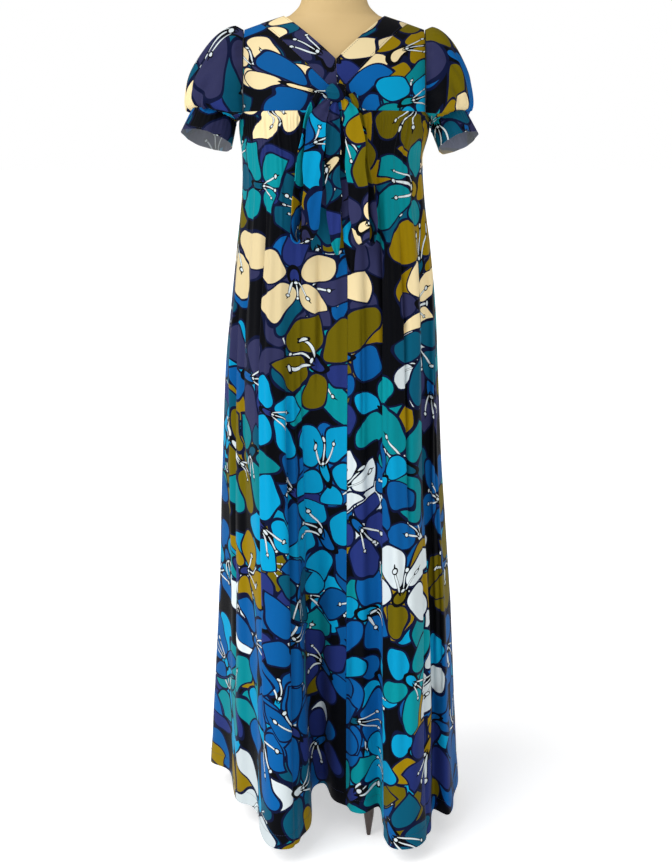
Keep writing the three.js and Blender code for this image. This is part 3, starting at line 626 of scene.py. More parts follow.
def panel_places(start, end, columns):
    """Places across a panel, closer together at the deep folds, with one more beyond each edge."""
    fine = np.linspace(start, end, 4000)
    weight = np.ones_like(fine)
    for lap in LAPS:
        low, high = sorted((lap.top, lap.bottom))
        weight += 1.3 * ease((fine - low + 0.6) / 0.3) * (1 - ease((fine - high - 0.3) / 0.3))
    total = np.concatenate([[0], np.cumsum((weight[1:] + weight[:-1]) / 2)])
    place = np.interp(np.linspace(0, total[-1], columns + 1), total, fine)
    return np.concatenate([[2 * place[0] - place[1]], place, [2 * place[-1] - place[-2]]])


def level_part(points):
    return points * np.array([1.0, 1.0, 0.0])


def skirt_surface(sizes, place, share):
    """Finished skirt surface on a grid."""
    cloth, yoke = sizes.dress_cloth, sizes.dress_yoke
    base = skirt_base(cloth, place, share)
    normal = grid_normals(base)
    if np.median(np.sign(dot(normal, level_part(base)))) < 0:
        normal = -normal
    relief, sideways = skirt_relief(cloth, place, share)
    across = unit(np.gradient(base, axis=1))
    points = base + normal * relief[..., None] + across * sideways[..., None]
    points[..., 2] -= underarm_dip(yoke, points) * ((1 - share) ** 4)[:, None]
    return points


def skirt_front(cloth, x, z):
    """Foremost place of the plain skirt at a distance across and a height."""
    top, hem = cloth.yoke_seam / MM, cloth.hem / MM
    low = min(z, top - TIE_BLEND)
    share = np.array([(top - low) / (top - hem)])
    line = skirt_base(cloth, np.arange(-8, 8.01, 0.05), share)[0]
    near = 0.0
    for a, b in zip(line[:-1], line[1:]):
        if (a[0] - x) * (b[0] - x) <= 0:
            near = min(near, a[1], b[1])
    if z <= low:
        return near
    yoke_front = -TUBE[0].front - TIE_CLEAR
    return mix(near, yoke_front, float(ease((z - low) / TIE_BLEND))) - (0 if z > top else 1.5)


def crown_height(yoke, x):
    """Height of the shoulder line, falling from the neck to the armhole."""
    fall = SHOULDER_SLOPE * np.hypot(x, SHOULDER_ROUND) + SHOULDER_FALL * x * x
    return yoke.crown / MM - fall


def yoke_point(yoke, x, angle):
    """Yoke surface: x across, angle from the front seam over the shoulder to the back seam."""
    x, angle = np.broadcast_arrays(np.asarray(x, float), np.asarray(angle, float))
    c, s = np.cos(angle), np.sin(angle)
    share = np.minimum(0.995, np.abs(x) / (yoke.half / MM))
    plan = (1 - share**PLAN) ** (1 / PLAN)
    depth = np.where(c > 0, yoke.front / MM, yoke.back / MM) * plan
    power = np.where(c > 0, 2 / ARCH_FRONT, 2 / ARCH_BACK)
    low = YOKE_SEAM_Z + SEAM_DROP
    z = low + (crown_height(yoke, x) - low) * signed(s, power)
    return np.stack([x + yoke.middle / MM, -depth * signed(c, power), z], axis=-1)


def arch_angle(yoke, z):
    """Angle at which the middle of the yoke's front reaches a height."""
    share = (z - YOKE_SEAM_Z) / (crown_height(yoke, 0.0) - YOKE_SEAM_Z)
    return math.asin(share ** (ARCH_FRONT / 2))


def band_edges(yoke, angle, side):
    """Inner and outer edge of the neckband at an angle over the shoulder."""
    v_angle = arch_angle(yoke, yoke.v_point / MM)
    tie_angle = arch_angle(yoke, yoke.tie_line / MM)
    opening = np.clip((angle - v_angle) / (QUARTER - v_angle), 0, 1)
    rise = np.clip((angle - tie_angle) / (QUARTER - tie_angle), 0, 1)
    inner = yoke.neck / MM * (1 - (1 - opening) ** 2)
    outer = mix(BAND_JOIN, yoke.band / MM, 1 - (1 - rise) ** BAND_CURVE)
    shift = BAND_SHIFT * (1 - rise) ** 2
    return side * (inner + 0.2) + shift, side * outer + shift


def back_edge(share, reach, fall):
    """Place and angle of a curved edge round the back of the neck."""
    turn = share * QUARTER
    return reach * np.sin(turn), QUARTER + SHOULDER_GAP + fall * np.abs(np.cos(turn)) ** 0.8


def armhole(yoke, turn, side):
    """Armhole loop: 0 at the front seam, a quarter at the shoulder, half at the back seam."""
    edge, half = yoke.armhole / MM, yoke.half / MM
    upper = yoke_point(yoke, side * edge, np.minimum(turn, math.pi))
    c, s = np.cos(turn), np.sin(turn)
    front, back = (abs(yoke_point(yoke, side * edge, angle)[1]) for angle in (0.0, math.pi))
    depth = np.where(c > 0, front, back)
    x = side * mix(half, edge, np.abs(c) ** 2) + yoke.middle / MM
    lower = np.stack([x, -depth * c, YOKE_SEAM_Z + UNDERARM_DIP * s], axis=-1)
    return np.where((turn <= math.pi)[..., None], upper, lower)


def cuff_ring(spec, turn, down, grow):
    """Points round the arm, at distances down it and beyond the cuff's own size."""
    axis = unit(np.array([spec.side * spec.lean, -spec.forward, -1.0]))
    outward = np.array([spec.side, 0, spec.lean], float)
    outward = unit(outward - axis * (outward @ axis))
    forward = np.cross(axis, outward)
    forward *= -1 if forward[1] > 0 else 1
    middle = np.array([spec.side * spec.cuff_x, -4, spec.cuff_z], float)
    down, grow = np.asarray(down, float)[..., None], np.asarray(grow, float)[..., None]
    s, c = np.sin(turn)[..., None], np.cos(turn)[..., None]
    wide, deep = (spec.radius + grow) * s, (spec.depth + grow) * c
    return middle + axis * down + outward * wide + forward * deep


def sleeve_relief(spec, t, down):
    """Height of a sleeve's gathers and soft creases, by turns round it and shares down it."""
    rng = np.random.default_rng(5 if spec.side < 0 else 8)
    away_from = lambda turn: np.angle(np.exp(1j * (t - turn)))
    relief = np.zeros_like(t)
    for k in range(SLEEVE_GATHERS):
        centre = (k + rng.uniform(-0.3, 0.3)) / SLEEVE_GATHERS * ROUND
        width = rng.uniform(0.05, 0.09) * (1 + 0.8 * np.sin(math.pi * down))
        ridge = hump(away_from(centre) - rng.uniform(-0.25, 0.25) * down, width)
        head = ease(down / 0.03) * np.exp(-((down / rng.uniform(0.26, 0.6)) ** 1.5))
        hem = np.exp(-(((1 - down) / rng.uniform(0.12, 0.5)) ** 1.5))
        hem = hem * ease((1 - down) / 0.015 + 0.25)
        topness = max(0.0, math.sin(centre))
        head_height = rng.uniform(2.0, 5.6) * (0.45 + 0.55 * topness)
        hem_height = rng.uniform(2.0, 4.6) * (0.5 + 0.5 * topness)
        relief += ridge * (head_height * head + hem_height * hem)
    for dent in SLEEVE_DENTS:
        length = (down - dent.down) / dent.length
        relief += dent.height * hump(away_from(dent.turn), dent.width) * hump(length, 1)
    return relief


def sleeve_surface(yoke, spec, turn, share):
    """Puff sleeve on a grid of shares down the arm by turns round it."""
    t, down = np.meshgrid(turn, share)
    s, c = np.sin(t), np.cos(t)
    topness, under = np.maximum(0, s) ** 0.8, np.maximum(0, -s) ** 0.5
    start = armhole(yoke, t, spec.side)
    start[..., 0] += spec.side * SLEEVE_START
    start[..., 2] += 1.2 * under
    points = mix(start, cuff_ring(spec, t, 0 * t, 0 * t), down[..., None])
    swell = np.abs(np.sin(math.pi * down**0.84)) ** 0.56
    sides = SLEEVE_SIDE_PUFF * (1 - 0.85 * under)
    outward = 0.83 * spec.puff * topness + sides * 0.45 * np.abs(c)
    points[..., 0] += spec.side * swell * outward
    points[..., 2] += swell * (0.62 * spec.puff * topness - SLEEVE_UNDER_PUFF * under)
    points[..., 1] -= swell * sides * signed(c, 0.8)
    relief = sleeve_relief(spec, t, down) - SLEEVE_INSET * swell
    normal = grid_normals(points, ring=True)
    if np.mean(dot(normal, points - points.mean(axis=1, keepdims=True))) < 0:
        normal = -normal
    return points + normal * relief[..., None]


def cuff_surface(spec, turn, down):
    """Flared cuff on a grid of shares down it by turns round it."""
    turn, down = np.meshgrid(turn, down)
    wave = 1.4 * down * np.sin(5 * turn + 0.7) + 0.7 * down * np.sin(11 * turn + 2)
    small = 0.5 * (1 - down) * np.sin(SLEEVE_GATHERS * turn)
    grow = spec.flare * down**0.8 + wave + small - 0.5
    return cuff_ring(spec, turn, CUFF_GAP + CUFF_LENGTH * down, grow)


def ring_cut(points, turn):
    """Flat place of each point of a ring piece, with its join under the arm."""
    girth = run_length(np.concatenate([points, points[:, :1]], axis=1), 1)[:, -1].mean()
    u = (np.mod(turn + QUARTER, ROUND) / ROUND - 0.5) * girth
    return np.stack(np.broadcast_arrays(u[None, :], drop_length(points)), axis=-1) * MM


def tie_surface(cloth, rows, steps, lanes):
    """Strip of the tie on a grid, with soft lengthwise folds."""
    place = np.arange((len(rows) - 1) * steps + 1) / steps
    x, z = along(rows, "x", place), along(rows, "z", place)
    y = np.array([skirt_front(cloth, a, b) for a, b in zip(x, z)]) - along(rows, "off", place)
    line = np.stack([x, y, z], axis=1)
    run = unit(np.gradient(line, axis=0))
    twist = np.radians(along(rows, "twist", place))
    across = np.stack([np.cos(twist), np.sin(twist), 0 * twist], axis=1)
    across = unit(across - run * dot(across, run)[:, None])
    half = np.maximum(1.5, along(rows, "width", place) / 2)
    lane = np.linspace(-1, 1, lanes)[None, :]
    length = run_length(line[:, None, :], 0)
    pinch = np.clip(1.3 - half / 17, 0, 1)[:, None]
    fold = np.sin(lane * 5 + length * 0.05) * (0.4 + pinch)
    fold += 0.9 * np.sin(lane * 2.3 - length * 0.031 + 2)
    edge = 1.2 * np.sin(length * 0.09 + 0.6) + 0.8 * np.sin(length * 0.043)
    edge = edge * np.clip((half[:, None] - 5) / 8, 0, 1)
    reach = half[:, None] * lane + edge * lane**2
    face = np.cross(run, across)
    return line[:, None] + across[:, None] * reach[..., None] + face[:, None] * fold[..., None]


# Turning grids into pieces.


def lay_flat(mesh, flat):
    """Writes the flat place of each vertex as the mesh's UV layer."""
    layer = mesh.uv_layers.new(name="cut")
    corners = np.empty(len(mesh.loops), np.int32)
    mesh.loops.foreach_get("vertex_index", corners)
    layer.data.foreach_set("uv", np.asarray(flat, np.float32)[corners].ravel())


def face_outward(piece, angle):
    """Turns all faces outward, smooths the surface up to an angle and deselects the piece."""
    bpy.ops.object.mode_set(mode="EDIT")
    bpy.ops.mesh.select_all(action="SELECT")
    bpy.ops.mesh.normals_make_consistent(inside=False)
    bpy.ops.object.mode_set(mode="OBJECT")
    bpy.ops.object.shade_smooth_by_angle(angle=math.radians(angle))
    piece.select_set(False)
    return piece


def finish_mesh(name, points, faces, materials, face_slots, flat=None):
    mesh = bpy.data.meshes.new(name)
    mesh.from_pydata(((points - MIDDLE) * MM).tolist(), [], faces)
    for material in materials:
        mesh.materials.append(material)
    mesh.polygons.foreach_set("material_index", np.asarray(face_slots, np.int32))
    if flat is not None:
        lay_flat(mesh, flat)
    mesh.validate()
    mesh.update()
    piece = bpy.data.objects.new(name, mesh)
    bpy.context.scene.collection.objects.link(piece)
    bpy.ops.object.select_all(action="DESELECT")
    piece.select_set(True)
    bpy.context.view_layer.objects.active = piece
    return face_outward(piece, 50)


def quads(index):
    """Corners of the faces of a grid of vertex numbers."""
    rows = index[:-1, :-1], index[:-1, 1:], index[1:, 1:], index[1:, :-1]
    return np.stack([row.ravel() for row in rows], axis=1)


def cloth_shell(
    name, points, thickness, outward, shift=(0, 0), flat=None, ring=False, doubled=False
):
    """Closed thin shell on both sides of a grid of points, declared as a cloth piece.

    The outer face carries the print; a doubled piece carries it on both.
    """
    rows, columns = points.shape[:2]
    normal = grid_normals(points, ring)
    if np.mean(dot(normal, outward)) < 0:
        normal = -normal
    half = np.asarray(thickness, float) / MM / 2
    sides = np.concatenate([points + normal * half, points - normal * half]).reshape(-1, 3)
    index = np.arange(rows * columns).reshape(rows, columns)
    if ring:
        index = np.concatenate([index, index[:, :1]], axis=1)
    below = rows * columns
    outer = quads(index)
    inner = outer[:, [0, 3, 2, 1]] + below
    edges = [index[0], index[-1]] if ring else [index[0], index[-1], index[:, 0], index[:, -1]]
    rim = np.concatenate([quads(np.stack([line, line + below])) for line in edges])
    slots = [0] * len(outer) + [1] * len(inner) + [0] * len(rim)
    if flat is None:
        u = run_length(points, 1)
        flat = np.stack(np.broadcast_arrays(u, drop_length(points)), axis=-1) * MM
    flat = flat.reshape(-1, 2) + np.array(shift)
    piece = finish_mesh(
        name + "_cloth",
        sides,
        np.concatenate([outer, inner, rim]).tolist(),
        (dress_print(), dress_print() if doubled else wrong_side()),
        slots,
        np.concatenate([flat, flat]),
    )
    declare(piece)


def ring_solid(name, rings, material):
    """Solid through a stack of rings, with flat ends."""
    rows, columns = rings.shape[:2]
    index = np.arange(rows * columns).reshape(rows, columns)
    index = np.concatenate([index, index[:, :1]], axis=1)
    faces = quads(index).tolist()
    ends = rings[[0, -1]].mean(axis=1)
    for centre, row in enumerate((index[0], index[-1]), rows * columns):
        faces += [[int(a), int(b), centre] for a, b in zip(row[:-1], row[1:])]
    points = np.concatenate([rings.reshape(-1, 3), ends])
    return finish_mesh(name, points, faces, (material,), [0] * len(faces))


def declare(piece):
    """Cloth piece: the solid it stands for and its body."""
    node = piece.name.removesuffix("_cloth")
    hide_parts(node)
    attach(piece, "root")


def stand_for(piece):
    """Piece of the form or its stand: the solid it stands for and its body."""
    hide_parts(piece.name.removesuffix("_finished"))
    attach(piece, "root")


# Materials.


class Graph:
    """Adds nodes with their inputs set or linked in one call."""

    def __init__(self, tree):
        self.tree = tree

    def feed(self, socket, value):
        if isinstance(value, bpy.types.NodeSocket):
            self.tree.links.new(value, socket)
        else:
            socket.default_value = value

    def put(self, kind, inputs=(), **settings):
        node = self.tree.nodes.new(kind)
        for key, value in settings.items():
            setattr(node, key, value)
        for key, value in dict(inputs).items():
            self.feed(node.inputs[key], value)
        return node

    def math(self, operation, a, b=0.0, c=0.0):
        return self.put("ShaderNodeMath", {0: a, 1: b, 2: c}, operation=operation).outputs[0]

    def vector(self, operation, a, b=(0, 0, 0)):
        return self.put("ShaderNodeVectorMath", {0: a, 1: b}, operation=operation).outputs[0]

    def scaled(self, vector, scale):
        inputs = {0: vector, "Scale": scale}
        return self.put("ShaderNodeVectorMath", inputs, operation="SCALE").outputs[0]

    def blend(self, under, over, mask):
        inputs = {"Factor": mask, 6: under, 7: over}
        settings = {"data_type": "RGBA", "blend_type": "MIX", "clamp_factor": True}
        return self.put("ShaderNodeMix", inputs, **settings).outputs[2]

    def reach(self, point, lobe):
        """How far a point is from a lobe's centre, 1 at the lobe's edge."""
        inputs = {
            "Vector": point,
            "Location": (lobe.x, lobe.y, 0),
            "Rotation": (0, 0, math.radians(lobe.turn)),
            "Scale": (lobe.across, lobe.along, 1),
        }
        placed = self.put("ShaderNodeMapping", inputs, vector_type="TEXTURE").outputs[0]
        length = self.put("ShaderNodeVectorMath", {0: placed}, operation="LENGTH")
        return length.outputs["Value"]

    def ramp(self, value, stops):
        node = self.put("ShaderNodeValToRGB", {0: value})
        node.color_ramp.interpolation = "CONSTANT"
        elements = node.color_ramp.elements
        while len(elements) > 1:
            elements.remove(elements[-1])
        for number, (position, name) in enumerate(stops):
            element = elements.new(position) if number else elements[0]
            element.position = position
            element.color = linear(name)
        return node.outputs[0]

    def noise(self, scale, detail):
        """Noise on the piece's own coordinates."""
        where = self.put("ShaderNodeTexCoord").outputs["Object"]
        inputs = {"Vector": where, "Scale": scale, "Detail": detail}
        return self.put("ShaderNodeTexNoise", inputs).outputs[0]

    def bump(self, shader, height, strength, distance):
        inputs = {"Height": height, "Strength": strength, "Distance": distance}
        self.feed(shader.inputs["Normal"], self.put("ShaderNodeBump", inputs).outputs[0])


# Palettes of the print: the upper dress and the lower skirt. Shares add up from 0 to 1.
PALETTE_HIGH = (
    (0.0, "turquoise"),
    (0.16, "purple"),
    (0.38, "deep_teal"),
    (0.57, "cream"),
    (0.69, "mid_blue"),
    (0.78, "olive"),
    (0.85, "gold"),
    (0.91, "cyan"),
    (0.96, "navy"),
)
PALETTE_LOW = (
    (0.0, "cyan"),
    (0.19, "navy"),
    (0.37, "mid_blue"),
    (0.65, "white"),
    (0.71, "deep_teal"),
    (0.79, "gold"),
    (0.86, "olive"),
    (0.93, "turquoise"),
)

# Lobes of a blossom: centre, turn in degrees and half sizes, in shares of the repeat.
Lobe = namedtuple("Lobe", "x y turn across along")
PETALS = (
    Lobe(0.0, 0.30, 0, 0.138, 0.172),
    Lobe(0.25, 0.12, -62, 0.152, 0.222),
    Lobe(0.18, -0.24, -146, 0.16, 0.226),
)
HEART = Lobe(0, 0.02, 0, 0.05, 0.12)
STAMENS = (Lobe(0.075, -0.13, 28, 0.009, 0.10), Lobe(0.0, -0.16, 0, 0.008, 0.09))
BEADS = tuple(Lobe(x, y, 0, 0.018, 0.018) for x, y in ((0.122, -0.215), (0, -0.25), (0, -0.05)))


def blossom_layer():
    """Node group: scattered blossoms with pale stamens, laid over what lies under them."""
    if "blossom layer" in bpy.data.node_groups:
        return bpy.data.node_groups["blossom layer"]
    tree = bpy.data.node_groups.new("blossom layer", "ShaderNodeTree")
    for name, way, kind in (
        ("Place", "INPUT", "NodeSocketVector"),
        ("Under", "INPUT", "NodeSocketColor"),
        ("Shift", "INPUT", "NodeSocketFloat"),
        ("Scale", "INPUT", "NodeSocketFloat"),
        ("Color", "OUTPUT", "NodeSocketColor"),
    ):
        tree.interface.new_socket(name=name, in_out=way, socket_type=kind)
    g = Graph(tree)
    given = tree.nodes.new("NodeGroupInput").outputs
    shift = g.put("ShaderNodeCombineXYZ", {0: given["Shift"]}).outputs[0]
    place = g.vector("ADD", given["Place"], shift)
    cells = {"Vector": place, "Scale": given["Scale"], "Randomness": 0.78}
    cell, border = (
        g.put("ShaderNodeTexVoronoi", cells, voronoi_dimensions="2D", feature=feature).outputs
        for feature in ("F1", "DISTANCE_TO_EDGE")
    )
    chance = g.put("ShaderNodeSeparateColor", {0: cell["Color"]}).outputs
    drop = g.put("ShaderNodeSeparateXYZ", {0: cell["Position"]}).outputs[1]
    fade = {"Value": drop, "From Min": -0.3, "From Max": -0.72}
    is_low = g.math("LESS_THAN", chance[1], g.put("ShaderNodeMapRange", fade).outputs[0])
    again = g.math("FRACT", g.math("MULTIPLY", chance[2], 7.3))
    fill, second = (
        g.blend(g.ramp(pick, PALETTE_HIGH), g.ramp(pick, PALETTE_LOW), is_low)
        for pick in (chance[2], again)
    )
    tint = g.math("MULTIPLY_ADD", chance[0], 0.3, 0.85)
    fill = g.put("ShaderNodeHueSaturation", {"Color": fill, "Value": tint}).outputs[0]
    local = g.scaled(g.vector("SUBTRACT", place, cell["Position"]), given["Scale"])
    turn = {"Vector": local, "Angle": g.math("MULTIPLY", chance[0], 6.283)}
    turned = g.put("ShaderNodeVectorRotate", turn, rotation_type="Z_AXIS").outputs[0]
    size = g.math("DIVIDE", 1.0, g.math("MULTIPLY_ADD", chance[1], 0.3, 0.9))
    x, y, _ = g.put("ShaderNodeSeparateXYZ", {0: g.scaled(turned, size)}).outputs
    folded = g.put("ShaderNodeCombineXYZ", {0: g.math("ABSOLUTE", x), 1: y}).outputs[0]
    whole, inner = (g.math("GREATER_THAN", border[0], limit) for limit in (0.004, 0.02))
    line, ground, white = linear("line"), linear("ground"), linear("white")
    colour = given["Under"]
    # Each lobe with its outline's colour and size, and its own.
    for lobe, rim, rim_size, paint, paint_size in (
        (PETALS[0], line, 1.0, second, 0.875),
        *((petal, line, 1.0, fill, 0.875) for petal in PETALS[1:]),
        (HEART, ground, 1.25, second, 0.8),
        *((stamen, ground, 1.5, white, 1.0) for stamen in STAMENS),
        *((bead, ground, 1.5, white, 0.9) for bead in BEADS),
    ):
        far = g.reach(folded, lobe)
        for layer, limit, part in ((rim, rim_size, whole), (paint, paint_size, inner)):
            mask = g.math("MULTIPLY", g.math("LESS_THAN", far, limit), part)
            colour = g.blend(colour, layer, mask)
    g.feed(tree.nodes.new("NodeGroupOutput").inputs[0], colour)
    return tree


# Layers of blossoms, from the lowest up: shift along the cloth in metres, blossoms to a metre.
LAYERS = ((0.31, 6.6), (12.43, 5.5), (35.17, 5.9))


def printed_colour(g):
    """Colour of the print at the cloth's own flat place."""
    flat = g.put("ShaderNodeUVMap", uv_map="cut").outputs[0]
    noise = {"Vector": flat, "Scale": 11.0, "Detail": 1.0}
    wander = g.put("ShaderNodeTexNoise", noise, noise_dimensions="2D").outputs["Color"]
    wander = g.scaled(g.vector("SUBTRACT", wander, (0.5, 0.5, 0.5)), 0.05)
    place = g.vector("ADD", flat, wander)
    colour = linear("ground")
    for shift, scale in LAYERS:
        layer = g.put("ShaderNodeGroup", node_tree=blossom_layer())
        for key, value in (("Place", place), ("Under", colour), ("Shift", shift), ("Scale", scale)):
            g.feed(layer.inputs[key], value)
        colour = layer.outputs[0]
    return colour


def new_material(name, settings):
    """Material with its shader's inputs set: a graph and the shader come with it."""
    material = bpy.data.materials.new(name)
    material.use_nodes = True
    shader = material.node_tree.nodes["Principled BSDF"]
    graph = Graph(material.node_tree)
    for key, value in settings.items():
        graph.feed(shader.inputs[key], value)
    return material, graph, shader


def shaded(name, times):
    """Colour of the table, made lighter or darker."""
    return tuple(min(1.0, value * times) for value in linear(name)[:3]) + (1.0,)


def weave_bump(g, shader, strength):
    """Soft rumples of worn cotton over a plain weave with threads 0.6 mm apart."""
    flat = g.put("ShaderNodeUVMap", uv_map="cut").outputs[0]
    total = g.noise(26.0, 3.0)
    bands = {"Vector": flat, "Scale": 523.0, "Distortion": 1.5, "Detail Scale": 0.3}
    for way in ("X", "Y"):
        threads = g.put("ShaderNodeTexWave", bands, wave_type="BANDS", bands_direction=way)
        total = g.math("MULTIPLY_ADD", threads.outputs["Fac"], 0.025, total)
    g.bump(shader, total, strength, 0.004)


def dress_print():
    """Printed face of the cloth."""
    if "printed cotton" in bpy.data.materials:
        return bpy.data.materials["printed cotton"]
    settings = {"Roughness": 0.62, "Specular IOR Level": 0.05}
    settings.update({"Sheen Weight": 0.02, "Sheen Roughness": 0.5})
    material, g, shader = new_material("printed cotton", settings)
    g.feed(shader.inputs["Base Color"], printed_colour(g))
    weave_bump(g, shader, 0.22)
    return material


def wrong_side():
    """Unprinted side: the print shows through, paler."""
    if "wrong side" in bpy.data.materials:
        return bpy.data.materials["wrong side"]
    settings = {"Roughness": 0.8, "Specular IOR Level": 0.2}
    material, g, shader = new_material("wrong side", settings)
    colour = g.blend(printed_colour(g), (0.42, 0.44, 0.46, 1), 0.5)
    g.feed(shader.inputs["Base Color"], colour)
    weave_bump(g, shader, 0.2)
    return material


def thread():
    """Dark sewing thread with a twist."""
    material, g, shader = new_material("sewing thread", {"Roughness": 0.5})
    tone = g.blend(linear("thread"), shaded("thread", 1.8), g.noise(400.0, 1.0))
    g.feed(shader.inputs["Base Color"], tone)
    where = g.put("ShaderNodeTexCoord").outputs["Object"]
    wave = {"Vector": where, "Scale": 420.0}
    twist = g.put("ShaderNodeTexWave", wave, bands_direction="DIAGONAL").outputs["Fac"]
    g.bump(shader, twist, 0.4, 0.0002)
    return material


def form_cover():
    """Pale cover of the dress form."""
    settings = {"Roughness": 0.6, "Specular IOR Level": 0.3}
    material, g, shader = new_material("form cover", settings)
    tone = g.blend(shaded("form", 0.9), linear("form"), g.noise(9.0, 2.0))
    g.feed(shader.inputs["Base Color"], tone)
    return material


def dark_wood():
    """Dark varnished wood with its grain upright."""
    material, g, shader = new_material("dark wood", {"Roughness": 0.28, "Coat Weight": 0.25})
    where = g.put("ShaderNodeTexCoord").outputs["Object"]
    upright = g.put("ShaderNodeMapping", {"Vector": where, "Scale": (60, 60, 7)}).outputs[0]
    noise = {"Vector": upright, "Scale": 1.0, "Detail": 4.0}
    grain = g.put("ShaderNodeTexNoise", noise).outputs[0]
    tone = g.blend(linear("wood"), shaded("wood", 1.5), grain)
    g.feed(shader.inputs["Base Color"], tone)
    return material


# Operators, one for each piece or like group.


class DRESS_OT_skirt(bpy.types.Operator):
    """Three gathered skirt panels with the folds of the hanging cloth"""

    bl_idname = "dress.skirt"
    bl_label = "Skirt"

    def execute(self, context):
        scene = context.scene
        cloth = scene.dress_cloth
        share = np.linspace(0, 1, (130) + 1) ** 1.25
        from_hem = (1 - share) * (cloth.yoke_seam - cloth.hem)
        turned_up = ease((cloth.hem_depth - from_hem) / 0.003 + 0.5)
        layers = (cloth.cloth * (1 + 0.9 * turned_up))[:, None, None]
        for panel in PANELS:
            columns = panel.columns
            points = skirt_surface(scene, panel_places(panel.start, panel.end, columns), share)
            u = run_length(points, 1)
            # The print is laid out from the front seam or from the middle of the back.
            grain = {"skirt_front_right": 1, "skirt_back": columns // 2}
            grain = grain.get(panel.name, columns + 1)
            u = u - u[:, grain : grain + 1]
            flat = np.stack(np.broadcast_arrays(u, -drop_length(points)), axis=-1) * MM
            points, flat = points[:, 1:-1], flat[:, 1:-1]
            for edge, inward in ((0, 1), (-1, -2)):
                way = unit(points[:, inward] - points[:, edge])
                points[:, edge] += way * cloth.seam / MM / 2
            cloth_shell(panel.name, points, layers, level_part(points), panel.shift, flat)
        return {"FINISHED"}


def yoke_piece(yoke, name, rows, columns, thickness, shift):
    """Cloth piece on the yoke surface through rows that each run between two places."""
    share = np.linspace(0, 1, columns + 1)
    x, angle = (np.array([mix(a[k], b[k], share) for a, b in rows]) for k in (0, 1))
    points = yoke_point(yoke, x, angle)
    outward = points * np.array([0.2, 1.0, 0.0]) + np.array([0.0, 0.0, 35.0])
    cloth_shell(name, points, thickness, outward, shift)


class DRESS_OT_yoke(bpy.types.Operator):
    """Yoke fronts, yoke back and the neckband's three pieces"""

    bl_idname = "dress.yoke"
    bl_label = "Yoke and neckband"

    def execute(self, context):
        cloth, yoke = context.scene.dress_cloth, context.scene.dress_yoke
        neck, band, hole = yoke.neck / MM, yoke.band / MM, yoke.armhole / MM
        start, top = arch_angle(yoke, yoke.tie_line / MM), QUARTER - SHOULDER_GAP
        for side, label, shift in ((-1, "left", (9.2, 2.1)), (1, "right", (12.6, 5.3))):
            rows = []
            for angle in [start * k / 12 for k in range(9)] + list(np.linspace(start, top, 40)):
                beside_band = band_edges(yoke, angle, side)[1] + side * BAND_GAP
                inner = beside_band if angle >= start else FRONT_SEAM_X + side * 0.2
                rows.append(((inner, angle), (side * hole, angle)))
            yoke_piece(yoke, "yoke_front_" + label, rows, 36, cloth.cloth, shift)
            rows = []
            for angle in np.linspace(start, top, 48):
                inner, outer = band_edges(yoke, angle, side)
                rows.append(((inner, angle), (outer, angle)))
            shift = (shift[0] + 4, shift[1] + 1)
            yoke_piece(yoke, "neckband_" + label, rows, 10, cloth.band, shift)
        turns = np.linspace(-1, 1, 61)
        rows = [
            (back_edge(turn, neck, BACK_NECK_FALL), back_edge(turn, band, BACK_BAND_FALL))
            for turn in turns
        ]
        yoke_piece(yoke, "neckband_back", rows, 8, cloth.band, (21, 7))
        edges = [back_edge(turn, band + 0.64, BACK_BAND_FALL + 0.005) for turn in turns]
        rows = [((edge[0], math.pi), edge) for edge in edges]
        for x in np.linspace(band, hole, 8)[2:]:
            rows.append(((x, math.pi), (x, QUARTER + SHOULDER_GAP)))
            rows.insert(0, ((-x, math.pi), (-x, QUARTER + SHOULDER_GAP)))
        yoke_piece(yoke, "yoke_back", rows, 36, cloth.cloth, (17, 11))
        return {"FINISHED"}


class DRESS_OT_sleeves(bpy.types.Operator):
    """Two puff sleeves, gathered at the head and at the cuff, and their cuffs"""

    bl_idname = "dress.sleeves"
    bl_label = "Sleeves and cuffs"

    def execute(self, context):
        cloth, yoke = context.scene.dress_cloth, context.scene.dress_yoke
        turn = np.linspace(0, ROUND, 240, endpoint=False)
        for spec in SLEEVES:
            sleeve = sleeve_surface(yoke, spec, turn, np.linspace(0, 1, 70))
            cuff = cuff_surface(spec, turn, np.linspace(0, 1, 22))
            for name, points, thickness, shift in (
                ("sleeve_", sleeve, cloth.cloth, (27.3 + 3.4 * spec.side, 9.4)),
                ("cuff_", cuff, cloth.band, (33 + 3 * spec.side, 13)),
            ):
                outward = points - points.mean(axis=1, keepdims=True)
                flat = ring_cut(points, turn)
                cloth_shell(name + spec.name, points, thickness, outward, shift, flat, ring=True)
        return {"FINISHED"}


